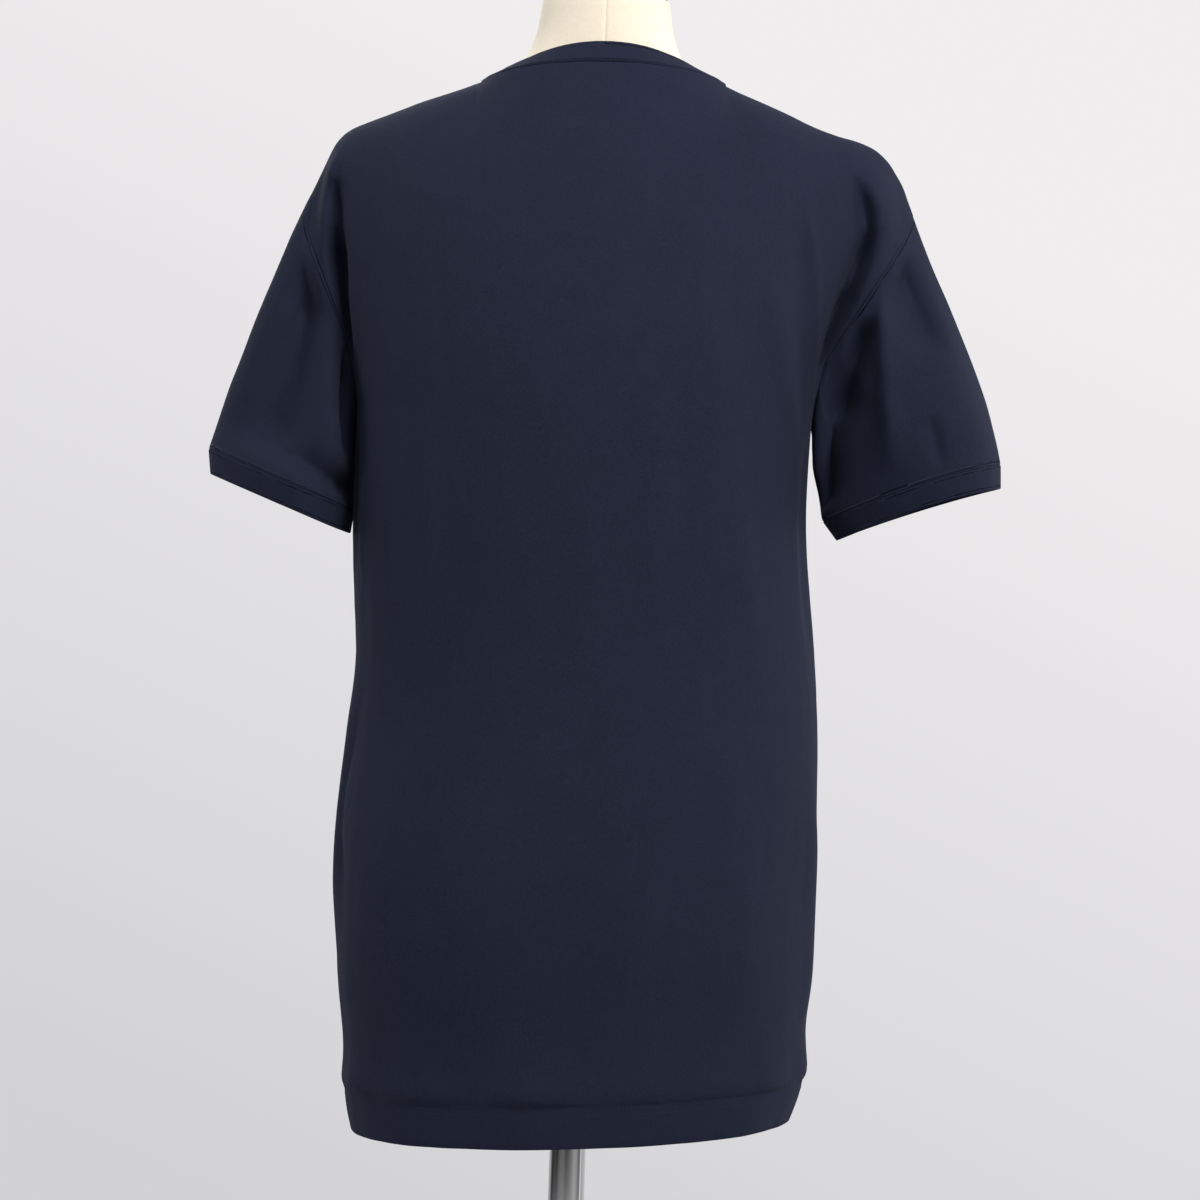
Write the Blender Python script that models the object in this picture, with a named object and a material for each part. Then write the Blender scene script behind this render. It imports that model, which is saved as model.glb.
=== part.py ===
"""A plain v-neck T-shirt worn by a limbless dress form on a round-based stand.

Units are metres, +Z is up, and the origin is on the floor under the pole. The shirt's front faces
-Y and the wearer's left is +X. The shirt is cut in seven pieces: back, front, two sleeves, two
cuffs and a neckband. Each is a thin wall between an outer grid of points and the same grid moved
inwards. The grids come from a few driving sizes and from short tables of sections and folds.
"""

import math

import bmesh
import bpy
import numpy as np
from mathutils import Vector
from mathutils.bvhtree import BVHTree


def table(columns, rows):
    """The rows as one array for each named column."""
    return dict(zip(columns.split(), np.array(rows, float).T))


# Driving dimensions.
CLOTH = 0.0015  # wall of the single jersey
DOUBLED = 0.0024  # wall of the hem, the cuffs and the neckband, which are folded double
SEAM_GAP = 0.0005  # between two pieces sewn together
FORM_CLEARANCE = 0.0013  # between the cloth's inner side and the dress form

HEM_Z = 0.3203
HEM_TILT = 0.056  # the hem hangs lower on the wearer's left, in metres per metre of X
HEM_TILT_REACH = 0.12  # height over which the tilt fades out
HEM_FOLD = 0.028  # depth of the turned-up hem
UNDERARM_Z = 0.805
SIDE_SEAM_Y = -0.006
QUARTER_GIRTH = 0.245  # round the body from the middle of a panel to its side seam

NECK_X = 0.0842  # half the width of the neckline
NECK_DROP = 0.0016  # how much lower the wearer's left side of the neckline lies than its middle
NECK_SIDE = (-0.004, 1.0363)  # y and z where the shoulder seam meets the neckline
NECK_BACK = (0.062, 1.0412)  # y and z of the neckline at the middle of the back
NECK_FRONT = (-0.052, 1.012)  # y and z of the base of the neck in front, above the V
V_X, V_Z = 0.0036, 0.8905  # the V's point, on the front's middle column
NECK_COLUMN = 0.36  # the panel column, from 0 at its middle to 1 at its edge, at the neckline's side
YOKE_BLEND = 0.16  # how much of the columns a corner of the upper edge blends into, far below it
BLEND_STEPS = (-1, -0.6, -0.2, 0.2, 0.6, 1)  # where that blend is read, in shares of it
BAND_WIDTH = 0.0165
BAND_MITRE = 0.125  # share of each front neckline, from the V's point, that the mitre takes up
BAND_CROWN = 0.0005  # how far the middle of the band stands proud
BAND_STEP = 0.01  # share of half the neckline over which its direction is taken
# The way the neckband stands up from its seam, on the wearer's left.
BAND_LEAN = table("turn x y z", [
    (-1.0, -0.91, 0.15, 0.38),  # at the point of the V
    (-0.5, -0.92, 0.10, 0.37),
    (0.00, -0.93, -0.12, 0.32),  # at the shoulder seam
    (0.50, -0.62, -0.55, 0.56),
    (1.00, 0.00, -0.50, 0.86),  # at the middle of the back
    (1.50, 0.62, -0.55, 0.56),  # and on past it, so that the band runs smoothly there
    (2.00, 0.93, -0.12, 0.32),
])

# Sections of the body below the arms: half widths to each side, reach to the front and to the back.
BODY = table("z left right front back square", [
    (0.3200, 0.1505, 0.1522, 0.1275, 0.1085, 2.20),
    (0.3420, 0.1548, 0.1590, 0.132, 0.113, 2.20),
    (0.3700, 0.1562, 0.1604, 0.135, 0.117, 2.25),
    (0.4100, 0.1618, 0.1612, 0.137, 0.123, 2.30),
    (0.4600, 0.1637, 0.1630, 0.139, 0.130, 2.30),
    (0.5150, 0.1640, 0.1634, 0.139, 0.130, 2.30),
    (0.5700, 0.1592, 0.1630, 0.139, 0.126, 2.30),
    (0.6150, 0.1566, 0.1612, 0.140, 0.122, 2.30),
    (0.6650, 0.1592, 0.1568, 0.142, 0.120, 2.30),
    (0.7250, 0.1624, 0.1503, 0.143, 0.121, 2.30),
    (0.8050, 0.1625, 0.1512, 0.141, 0.123, 2.25),
])

# The shoulder seam, from the neckline out over the form's shoulder and down to the sleeve.
SHOULDER = table("run left left_z right right_z y", [
    (0.00, NECK_X, NECK_SIDE[1] - NECK_DROP, NECK_X, NECK_SIDE[1] + NECK_DROP, NECK_SIDE[0]),
    (0.28, 0.1270, 1.0188, 0.1290, 1.0192, -0.005),
    (0.54, 0.1610, 1.0050, 0.1640, 1.0058, -0.006),
    (0.68, 0.1795, 0.9945, 0.1850, 0.9998, -0.006),
    (0.80, 0.1890, 0.9780, 0.2005, 0.9868, -0.006),
    (1.00, 0.2045, 0.9440, 0.2170, 0.9525, -0.006),
])

# Each column of a panel above the arms is a cubic from the body's section at the underarm up to the
# base of the neck or the shoulder seam. rise is its first handle as a share of its height, out moves
# that handle off the side of the body, and pull is the last handle, measured back from the top.
BACK_YOKE = table("column rise out pull_y pull_z", [
    (0.00, 0.50, 0.000, 0.034, -0.066),
    (0.18, 0.50, 0.001, 0.046, -0.056),
    (0.36, 0.50, 0.005, 0.080, -0.022),
    (0.60, 0.50, 0.008, 0.082, -0.008),
    (0.80, 0.46, 0.014, 0.066, -0.010),
    (1.00, 0.36, 0.046, 0.046, -0.018),
])
FRONT_YOKE = table("column rise out pull_y pull_z", [
    (0.00, 0.32, 0.000, 0.026, -0.062),
    (0.18, 0.36, 0.000, 0.036, -0.050),
    (0.36, 0.46, 0.000, 0.058, -0.016),
    (0.60, 0.50, 0.002, 0.064, -0.007),
    (0.80, 0.46, 0.012, 0.058, -0.010),
    (1.00, 0.36, 0.046, 0.046, -0.018),
])

# The largest folds. A fold runs straight from one place to another on its panel and rises (or
# sinks, where high is below 0) off the cloth. Columns run from -1 to 1, the wearer's left being 1.
FOLD_COLUMNS = "column z column_end z_end wide high"
BACK_FOLDS = table(FOLD_COLUMNS, [
    (-0.80, 0.965, -0.93, 0.845, 0.018, -0.0110),
    (-0.60, 0.950, -0.78, 0.780, 0.018, 0.0030),
    (0.85, 0.965, 0.95, 0.845, 0.018, -0.0100),
    (-0.27, 0.890, -0.50, 0.640, 0.024, 0.0030),
    (0.45, 0.890, 0.40, 0.620, 0.026, 0.0026),
    (-0.35, 0.600, -0.44, 0.400, 0.026, 0.0028),
    (0.20, 0.560, 0.28, 0.380, 0.028, 0.0028),
    (0.88, 0.640, 0.93, 0.430, 0.020, 0.0040),
    (-0.80, 0.560, -0.86, 0.390, 0.020, 0.0035),
])
FRONT_FOLDS = table(FOLD_COLUMNS, [
    (-0.82, 0.965, -0.94, 0.835, 0.020, -0.0100),
    (0.82, 0.965, 0.94, 0.840, 0.020, -0.0100),
    (-0.66, 0.950, -0.86, 0.770, 0.020, 0.0040),
    (0.62, 0.945, 0.83, 0.750, 0.020, 0.0040),
    (0.40, 0.790, 0.50, 0.380, 0.034, 0.0060),
    (-0.42, 0.780, -0.34, 0.380, 0.032, 0.0055),
    (0.05, 0.800, 0.02, 0.420, 0.028, -0.0040),
])

# The sleeves: the ring at the cuff's seam and the ring at the cuff's open end, each an ellipse
# whose long way slopes up and outwards. bow rounds a sleeve out along its length, swell rounds out
# its outer side where it comes to the cuff, and flare swings it out from the body as it leaves the
# underarm. arch lifts the cuff between the arm's inner and outer sides, lean turns the sleeve's inner
# side out as it comes to the cuff, and skew turns the ring's front and back towards the body.
SLEEVES = {
    "left": {"side": 1, "seam": (0.2142, 0.7560), "end": (0.2143, 0.7400), "slope": 21.0,
             "seam_half": 0.0543, "end_half": 0.0523, "depth": 0.0640, "bow": 0.004,
             "swell": 0.005, "flare": 0.007, "arch": 0.000, "lean": 0.0, "skew": 0.4},
    "right": {"side": -1, "seam": (0.2225, 0.7610), "end": (0.2276, 0.7470), "slope": 19.5,
              "seam_half": 0.0640, "end_half": 0.0592, "depth": 0.0620, "bow": 0.000,
              "swell": 0.010, "flare": -0.0015, "arch": 0.004, "lean": 0.4, "skew": -0.4},
}
SLEEVE_Y = -0.010
CUFF_END_DEPTH = 0.95  # front to back, the cuff's open end against its seam
ARCH_BACK = 0.25  # share of the cuff's arch that belongs to its back alone
TURN_COLUMNS = "around along around_end along_end wide high"
SLEEVE_FOLDS = {
    "left": table(TURN_COLUMNS, [
        (0.150, 0.02, 0.080, 0.60, 0.045, -0.0080),
        (0.320, 0.05, 0.285, 0.95, 0.062, -0.0110),
        (0.200, 0.10, 0.150, 0.80, 0.045, 0.0040),
        (0.600, 0.05, 0.680, 0.90, 0.060, 0.0040),
        (0.740, 0.02, 0.760, 0.85, 0.050, -0.0050),
    ]),
    "right": table(TURN_COLUMNS, [
        (0.200, 0.05, 0.060, 0.95, 0.060, -0.0110),
        (0.335, 0.02, 0.222, 0.92, 0.045, 0.0055),
        (0.600, 0.05, 0.660, 0.90, 0.060, 0.0040),
        (0.720, 0.02, 0.800, 0.80, 0.050, -0.0070),
    ]),
}

# The dress form: half width, reach to the front and to the back, and squareness of each section.
FORM = table("z half front back square", [
    (0.352, 0.1400, 0.0960, 0.0960, 2.2),
    (0.395, 0.1470, 0.1010, 0.1060, 2.2),
    (0.455, 0.1520, 0.1040, 0.1180, 2.2),
    (0.515, 0.1480, 0.1030, 0.1150, 2.2),
    (0.575, 0.1320, 0.0970, 0.0940, 2.2),
    (0.640, 0.1160, 0.0900, 0.0800, 2.2),
    (0.690, 0.1160, 0.0960, 0.0800, 2.2),
    (0.740, 0.1260, 0.1140, 0.0900, 2.2),
    (0.790, 0.1370, 0.1310, 0.1020, 2.2),
    (0.835, 0.1370, 0.1260, 0.1100, 2.2),
    (0.880, 0.1380, 0.1050, 0.1090, 2.1),
    (0.920, 0.1430, 0.0840, 0.1020, 2.0),
    (0.950, 0.1510, 0.0680, 0.0910, 2.0),
    (0.973, 0.1590, 0.0570, 0.0790, 2.0),
    (0.987, 0.1590, 0.0520, 0.0690, 2.0),
    (1.000, 0.1460, 0.0475, 0.0600, 2.0),
    (1.012, 0.1210, 0.0430, 0.0530, 2.0),
    (1.022, 0.0980, 0.0405, 0.0475, 2.0),
    (1.031, 0.0760, 0.0385, 0.0440, 2.0),
    (1.041, 0.0620, 0.0385, 0.0430, 2.0),
    (1.053, 0.0530, 0.0395, 0.0435, 2.0),
    (1.068, 0.0470, 0.0395, 0.0425, 2.0),
    (1.086, 0.0447, 0.0395, 0.0420, 2.0),
    (1.092, 0.0435, 0.0385, 0.0410, 2.0),
])
FORM_SIDES = 36
PIECE_GAP = 0.0004  # between the hard pieces, face to face
NECK_CAP = table("share rise", [
    (0.940, 0.000), (0.970, 0.002), (0.970, 0.007), (0.900, 0.010), (0.550, 0.012),
])

POLE_R = 0.0125
POLE_SIDES = 32
FLANGE_R = 0.034
FLANGE_THICK = 0.004
FLANGE_NECK = table("wider below", [(0.000, 0.012), (0.004, 0.006)])  # the pole's flare under the flange
BASE_SIDES = 48
BASE = table("radius z", [
    (0.150, 0.000),
    (0.150, 0.005),
    (0.148, 0.007),  # the plate's upper edge, rounded over
    (0.034, 0.008),
    (0.025, 0.011),
    (0.022, 0.016),  # the hub
    (0.021, 0.026),
])

# How quickly folds fade out, as the number of times the fade fits into the whole length.
FOLD_END_FADE = 3  # along a fold, to each of its ends
PANEL_SIDE_FADE = 12  # from a panel's middle to its side, towards its side seams
ARMHOLE_FADE = 5  # from the underarm up, where folds then run on over the armhole's edge
PANEL_TOP_FADE = 5  # from the underarm up, towards the shoulder seam and the neckline
SLEEVE_HOLE_FADE = 4  # along a sleeve, towards the armhole
SLEEVE_CUFF_FADE = 6  # along a sleeve, towards the cuff
UNDERARM_POWER = 6  # how closely the flare and the lean keep to the underarm
# Beside the armholes folds sink and rise more level, along Y.
FOLD_LEVEL = 2.5  # Y's weight there against the cloth's own normal
LEVEL_FROM, LEVEL_OVER = 0.45, 0.3  # the column where this starts, and the columns over which it grows
LEVEL_RISE = 4  # and from the underarm up

# How finely the cloth is divided.
NECK_COLUMNS = 6  # on each half of a panel, under the neckline
SHOULDER_COLUMNS = 9  # on each half, under the shoulder seam
BODY_ROWS = 10
YOKE_ROWS = 12
SLEEVE_ROWS = 7

COLOURS = {
    "jersey": ((0.023, 0.028, 0.046), 0.85, 0.0),
    "form_cover": ((0.84, 0.76, 0.62), 0.80, 0.0),
    "chrome": ((0.62, 0.62, 0.63), 0.12, 1.0),
    "base_metal": ((0.60, 0.60, 0.61), 0.25, 1.0),
}


def spline(places, values, where):
    """A natural cubic spline through values at places, read where it is asked."""
    count = len(places)
    step, slope = np.diff(places), np.diff(values) / np.diff(places)
    matrix, right = np.eye(count), np.zeros(count)
    for i in range(1, count - 1):
        matrix[i, i - 1:i + 2] = step[i - 1], 2 * (step[i - 1] + step[i]), step[i]
        right[i] = 6 * (slope[i] - slope[i - 1])
    bend = np.linalg.solve(matrix, right)
    i = np.clip(np.searchsorted(places, where, side="right") - 1, 0, count - 2)
    t, h = where - places[i], step[i]
    linear = slope[i] - h * (2 * bend[i] + bend[i + 1]) / 6
    return values[i] + t * (linear + t * (bend[i] / 2 + t * (bend[i + 1] - bend[i]) / (6 * h)))


def even_spline(places, values, where):
    """The same for what is alike on both sides of 0, so that it is level there."""
    mirrored = np.concatenate([-places[:0:-1], places])
    return spline(mirrored, np.concatenate([values[:0:-1], values]), np.abs(where))


def cubic(start, first, last, end, t):
    """A point of the cubic curve with these ends and handles."""
    r = 1 - t
    return r ** 3 * start + 3 * r * r * t * first + 3 * r * t * t * last + t ** 3 * end


def power(x, square):
    """A sine or cosine bent so that the ellipse it draws grows squarer than a true one."""
    return np.sign(x) * np.abs(x) ** (2 / square)


def unit(v):
    return v / np.linalg.norm(v, axis=-1, keepdims=True)


def smooth_step(t):
    t = np.clip(t, 0, 1)
    return t * t * (3 - 2 * t)


# ---- the body's panels -------------------------------------------------------------------------

def section_point(z, column, face):
    """A point of the body's section at height z. face is 1 on the back panel and -1 on the front."""
    left, right = spline(BODY["z"], BODY["left"], z), spline(BODY["z"], BODY["right"], z)
    reach = spline(BODY["z"], BODY["back" if face > 0 else "front"], z)
    square = spline(BODY["z"], BODY["square"], z)
    angle = column * math.pi / 2
    x = (left - right) / 2 + (left + right) / 2 * power(math.sin(angle), square)
    y = SIDE_SEAM_Y + (face * reach - SIDE_SEAM_Y) * power(math.cos(angle), square)
    return np.array([x, y, z])


def neck_base_point(column, face):
    """A point round the base of the neck, over a column of the neck's width."""
    turn = column / NECK_COLUMN * math.pi / 2
    middle = NECK_BACK if face > 0 else NECK_FRONT
    y = NECK_SIDE[0] + (middle[0] - NECK_SIDE[0]) * math.cos(turn)
    z = middle[1] + (NECK_SIDE[1] - middle[1]) * math.sin(turn) ** 2 - NECK_DROP * math.sin(turn)
    return np.array([NECK_X * math.sin(turn), y, z])


def shoulder_point(column):
    """A point of the shoulder seam over a column between the neckline and the armhole."""
    side = "left" if column > 0 else "right"
    run = (abs(column) - NECK_COLUMN) / (1 - NECK_COLUMN)
    x, z, y = (spline(SHOULDER["run"], SHOULDER[k], run) for k in (side, side + "_z", "y"))
    return np.array([math.copysign(x, column), y, z])


def yoke_top(column, face):
    """A point of a panel's upper edge before the V is cut: the neck's base or a shoulder seam."""
    return neck_base_point(column, face) if abs(column) <= NECK_COLUMN else shoulder_point(column)


def yoke_curve(column, share, face):
    """A point of a whole column above the arms, from 0 at the underarm's height to 1 at its top. The
    corners of the upper edge round off below it, as each column's top blends with those beside it."""
    yoke = BACK_YOKE if face > 0 else FRONT_YOKE
    rise, out, pull_y, pull_z = (
        even_spline(yoke["column"], yoke[name], column) for name in ("rise", "out", "pull_y", "pull_z")
    )
    low = section_point(UNDERARM_Z, column, face)
    blend = min(YOKE_BLEND * (1 - share), 1 - abs(column))
    top = np.mean([yoke_top(column + blend * step, face) for step in BLEND_STEPS], axis=0)
    first = low + (0, face * out, rise * (top[2] - low[2]))
    last = top + (0, face * pull_y, pull_z)
    return cubic(low, first, last, top, share)


def v_share(column):
    """How far up a front column the V cuts it, found by halving. The V is straight from in front."""
    low, high = 0.0, 1.0
    for _ in range(20):
        middle = (low + high) / 2
        x, _, z = yoke_curve(column, middle, -1)
        aside = (x - V_X) / (NECK_X - math.copysign(V_X, x - V_X))
        if z < V_Z + (NECK_SIDE[1] - V_Z) * abs(aside) - NECK_DROP * aside:
            low = middle
        else:
            high = middle
    return high


def neckline_point(column, face):
    """A point of the seam between panel and neckband, over a column of the neck's width."""
    return yoke_curve(column, 1 if face > 0 else v_share(column), face)


def fold_ends(along):
    """A fold's strength at a share of its length: half at each end, and gone just past it."""
    return smooth_step(along * FOLD_END_FADE + 0.5) * smooth_step((1 - along) * FOLD_END_FADE + 0.5)


def fold_height(folds, column, z):
    """How far the folds lift the cloth off its smooth shape at a place on a panel."""
    lift = 0.0
    for start, high_z, end, low_z, wide, high in zip(*folds.values()):
        along = (high_z - z) / (high_z - low_z)
        middle = start + (end - start) * np.clip(along, 0, 1)
        off = (column - middle) * QUARTER_GIRTH / wide
        lift += high * math.exp(-off * off) * fold_ends(along)
    return lift


def panel_columns():
    """Places across a panel, evenly under the neckline and evenly under each shoulder seam."""
    neck = np.linspace(0, NECK_COLUMN, NECK_COLUMNS + 1)
    shoulder = np.linspace(NECK_COLUMN, 1, SHOULDER_COLUMNS + 1)[1:]
    half = np.concatenate([neck, shoulder])
    return np.concatenate([-half[:0:-1], half])


def body_heights():
    """Heights of a panel's rows: the hem, the top of its fold, and then evenly to the underarm."""
    return np.concatenate([[HEM_Z], np.linspace(HEM_Z + HEM_FOLD, UNDERARM_Z, BODY_ROWS + 1)])


def panel_grid(face):
    """The outer points of a panel, a row for each height, folds and all."""
    columns, heights = panel_columns(), body_heights()
    shares = np.linspace(0, 1, YOKE_ROWS + 1)[1:]
    tops = [v_share(c) if face < 0 and abs(c) < NECK_COLUMN else 1 for c in columns]
    rows = [[section_point(z, c, face) for c in columns] for z in heights]
    rows += [[yoke_curve(c, s * top, face) for c, top in zip(columns, tops)] for s in shares]
    grid = np.array(rows)
    tilt = 1 - smooth_step((grid[..., 2] - HEM_Z) / HEM_TILT_REACH)
    grid[..., 2] -= HEM_TILT * grid[..., 0] * tilt
    normals = grid_normals(grid, face)
    in_yoke = np.concatenate([np.zeros(len(heights)), shares])
    below_top = 1 - in_yoke
    folds = BACK_FOLDS if face > 0 else FRONT_FOLDS
    for i, j in np.ndindex(grid.shape[:2]):
        inside = smooth_step((1 - abs(columns[j])) * PANEL_SIDE_FADE)
        inside = max(inside, smooth_step(in_yoke[i] * ARMHOLE_FADE))
        free = inside * smooth_step(below_top[i] * PANEL_TOP_FADE)
        level = smooth_step((abs(columns[j]) - LEVEL_FROM) / LEVEL_OVER)
        level *= smooth_step(in_yoke[i] * LEVEL_RISE)
        way = unit(normals[i, j] + (0, level * face * FOLD_LEVEL, 0))
        grid[i, j] += way * free * fold_height(folds, columns[j], grid[i, j, 2])
    return grid


# ---- sleeves, cuffs and neckband ---------------------------------------------------------------

def armhole(back, front, side):
    """The points of an armhole, from the underarm up its back edge and down its front edge."""
    edge = -1 if side > 0 else 0
    underarm = len(body_heights()) - 1
    return np.concatenate([back[underarm:, edge], front[-2:underarm:-1, edge]])


def turns_along(loop):
    """Each point's share of the way round a closed loop."""
    steps = np.linalg.norm(np.roll(loop, -1, axis=0) - loop, axis=1)
    return np.concatenate([[0], np.cumsum(steps)[:-1]]) / steps.sum()


def cuff_ring(sleeve, centre, half, depth, turns):
    """An ellipse that starts at the arm's inner side and runs by the back to the outer side."""
    slope, side = math.radians(sleeve["slope"]), sleeve["side"]
    long_way = np.array([side * math.cos(slope), 0, math.sin(slope)])
    middle = np.array([side * centre[0], SLEEVE_Y, centre[1]])
    angle = turns * 2 * math.pi
    across = np.sin(angle)
    arch = np.outer(across ** 2 * (1 - ARCH_BACK + ARCH_BACK * across), (0, 0, sleeve["arch"]))
    bent = angle + sleeve["skew"] * across
    return middle - np.outer(np.cos(angle), long_way) * half + np.outer(np.sin(bent), (0, depth, 0)) + arch


def sleeve_fold_height(folds, around, along):
    """The same for a place on a sleeve: its shares of the way round and from armhole to cuff."""
    lift = 0.0
    for start, first, end, last, wide, high in zip(*folds.values()):
        run = (along - first) / (last - first)
        off = (around - start - (end - start) * np.clip(run, 0, 1)) / wide
        lift += high * math.exp(-off * off) * fold_ends(run)
    return lift


def sleeve_grid(hole, sleeve, folds, turns):
    """Points from the armhole, row 0, to the cuff's seam, each column a cubic."""
    ring = cuff_ring(sleeve, sleeve["seam"], sleeve["seam_half"], sleeve["depth"], turns)
    slope, side = math.radians(sleeve["slope"]), sleeve["side"]
    down = np.array([side * math.sin(slope), 0, -math.cos(slope)])
    reach = np.linalg.norm(ring - hole, axis=1, keepdims=True)
    out = unit(ring - ring.mean(axis=0))
    inner = (0.5 + 0.5 * np.cos(turns * 2 * math.pi))[:, None]
    under = inner ** UNDERARM_POWER
    flare = np.array([side, 0, 0]) * under * sleeve["flare"]
    first = hole + (ring - hole) / 3 + out * sleeve["bow"] + flare
    arrive = down + under * (np.array([side * sleeve["lean"], 0, -1]) - down)
    last = ring - arrive * reach / 3 + out * (1 - inner) * sleeve["swell"]
    share = np.linspace(0, 1, SLEEVE_ROWS + 1)
    grid = np.array([cubic(hole, first, last, ring, t) for t in share])
    normals = grid_normals(grid, -side, around=True)
    for i, j in np.ndindex(grid.shape[:2]):
        free = smooth_step(share[i] * SLEEVE_HOLE_FADE) * smooth_step((1 - share[i]) * SLEEVE_CUFF_FADE)
        way = unit(normals[i, j] + (0, math.sin(turns[j] * 2 * math.pi), 0))
        grid[i, j] += way * free * sleeve_fold_height(folds, turns[j], share[i])
    return grid


def cuff_grid(seam, sleeve, turns):
    """Points from the cuff's seam, row 0, to its open end."""
    end = cuff_ring(sleeve, sleeve["end"], sleeve["end_half"], sleeve["depth"] * CUFF_END_DEPTH, turns)
    return np.array([seam * (1 - t) + end * t for t in (0, 0.5, 1)])


def neckline_run(turn, side):
    """Half the neckline, on the wearer's left for side 1: turn is -1 at the V and 1 at mid back."""
    if turn < 0:
        return neckline_point(side * (1 + turn) * NECK_COLUMN, -1)
    return neckline_point(side * (1 - turn) * NECK_COLUMN, 1)


def band_edge(turn, side):
    """The point of the neckband's free edge that belongs to a place on its seam."""
    above = turn if turn > 0 else turn * (1 - BAND_MITRE)
    ahead, behind = min(above + BAND_STEP, 1), above - BAND_STEP
    along = unit(neckline_run(ahead, side) - neckline_run(behind, side))
    lean = np.array([spline(BAND_LEAN["turn"], BAND_LEAN[k], above) for k in "xyz"]) * (side, 1, 1)
    lean = unit(lean - along * lean.dot(along))
    return neckline_run(above, side) + lean * BAND_WIDTH


def neckband_grid(back, front):
    """A strip round the neckline from the V's point by the wearer's left, mitred at the V."""
    middle = len(panel_columns()) // 2
    last = middle + NECK_COLUMNS
    first = middle - NECK_COLUMNS
    seam = [front[-1, middle:last + 1], back[-1, first + 1:last][::-1], front[-1, first:middle]]
    turns = np.linspace(-1, 1, 2 * NECK_COLUMNS + 1)
    left = np.array([band_edge(t, 1) for t in turns])
    right = np.array([band_edge(t, -1) for t in turns[-2::-1]])
    left[0] = (left[0] + right[-1]) / 2
    seam, edge = np.concatenate(seam), np.concatenate([left, right[:-1]])
    grid = np.array([seam, (seam + edge) / 2, edge])
    grid[1] += grid_normals(grid, -1, around=True)[1] * BAND_CROWN
    return grid


# ---- grids into walls --------------------------------------------------------------------------

def steps_along(points, axis, around):
    """The way from each point to the next, as a mean over its two neighbours."""
    if around:
        return np.roll(points, -1, axis=axis) - np.roll(points, 1, axis=axis)
    return np.gradient(points, axis=axis)


def grid_normals(grid, face=1, around=False):
    """Unit normals of a grid, which point out. face is 1 where its rows run up and its columns
    clockwise as seen from above, and -1 where one of the two runs the other way."""
    return unit(np.cross(np.gradient(grid, axis=0), steps_along(grid, 1, around))) * face


def share_normals(grids, normals, folded_back=0.0):
    """Gives pieces one normal where they meet, so that their walls meet edge to edge. Pieces that
    fold back on each other there, so that their normals nearly cancel, keep their own."""
    meeting = {}
    for name, grid in grids.items():
        for place in np.ndindex(grid.shape[:2]):
            meeting.setdefault(tuple(np.round(grid[place], 6)), []).append((name, place))
    shared = {name: normal.copy() for name, normal in normals.items()}
    for group in meeting.values():
        mean = np.mean([normals[name][place] for name, place in group], axis=0)
        if np.linalg.norm(mean) > folded_back:
            for name, place in group:
                shared[name][place] = unit(mean)
    return shared


def clear_of(tree, grid, normals, thick=CLOTH):
    """Moves each point off the dress form so that the wall's inner side stays clear of it."""
    for i, j in np.ndindex(grid.shape[:2]):
        inner = Vector(grid[i, j] - normals[i, j] * thick)
        near, normal, _, _ = tree.find_nearest(inner)
        short = FORM_CLEARANCE - (inner - near).dot(normal)
        if short > 0:
            grid[i, j] += np.array(normal) * short


def moved_in(line, inner, normals, around):
    """A seam's line of points moved in by half the seam's gap, square to itself, along the cloth."""
    across = unit(np.cross(normals, steps_along(line, 0, around)))
    towards = np.sign((across * (inner - line)).sum(axis=1, keepdims=True))
    return line + across * towards * SEAM_GAP / 2


def inset(grid, normals, first_row, last_row, sides):
    """The grid with its sewn edges moved in. A grid whose sides aren't sewn is a tube."""
    cut = grid.copy()
    for sewn, edge, inner in ((first_row, 0, 1), (last_row, -1, -2)):
        if sewn:
            cut[edge] = moved_in(grid[edge], grid[inner], normals[edge], around=not sides)
    for edge, inner in ((0, 1), (-1, -2)) if sides else ():
        cut[:, edge] = moved_in(cut[:, edge], cut[:, inner], normals[:, edge], around=False)
    return cut


def wall(outer, inner, around):
    """A closed wall between two like grids, as points and faces."""
    rows, columns = outer.shape[:2]
    points = np.concatenate([outer.reshape(-1, 3), inner.reshape(-1, 3)])

    def at(i, j, layer=0):
        return layer * rows * columns + i * columns + j % columns

    faces = []
    steps = columns if around else columns - 1
    for j in range(steps):
        for i in range(rows - 1):
            faces.append((at(i, j), at(i, j + 1), at(i + 1, j + 1), at(i + 1, j)))
            faces.append((at(i, j, 1), at(i + 1, j, 1), at(i + 1, j + 1, 1), at(i, j + 1, 1)))
        for i in (0, rows - 1):
            faces.append((at(i, j), at(i, j, 1), at(i, j + 1, 1), at(i, j + 1)))
    if not around:
        for i in range(rows - 1):
            for j in (0, columns - 1):
                faces.append((at(i, j), at(i + 1, j), at(i + 1, j, 1), at(i, j, 1)))
    return points, faces


# ---- objects -----------------------------------------------------------------------------------

def material(name):
    """The material of that name, made when it is first asked for."""
    colour, roughness, metallic = COLOURS[name]
    made = bpy.data.materials.get(name) or bpy.data.materials.new(name)
    made.use_nodes = True
    shader = made.node_tree.nodes["Principled BSDF"]
    shader.inputs["Base Color"].default_value = (*colour, 1)
    shader.inputs["Roughness"].default_value = roughness
    shader.inputs["Metallic"].default_value = metallic
    return made


def make(name, points, faces, finish, crease=35):
    """An object from points and faces, whose faces are then turned to look outwards."""
    mesh = bpy.data.meshes.new(name)
    mesh.from_pydata([tuple(p) for p in points], [], faces)
    shape = bmesh.new()
    shape.from_mesh(mesh)
    bmesh.ops.recalc_face_normals(shape, faces=shape.faces)
    shape.to_mesh(mesh)
    shape.free()
    mesh.materials.append(material(finish))
    mesh.shade_smooth()
    mesh.set_sharp_from_angle(angle=math.radians(crease))
    made = bpy.data.objects.new(name, mesh)
    bpy.context.scene.collection.objects.link(made)
    return made


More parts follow.
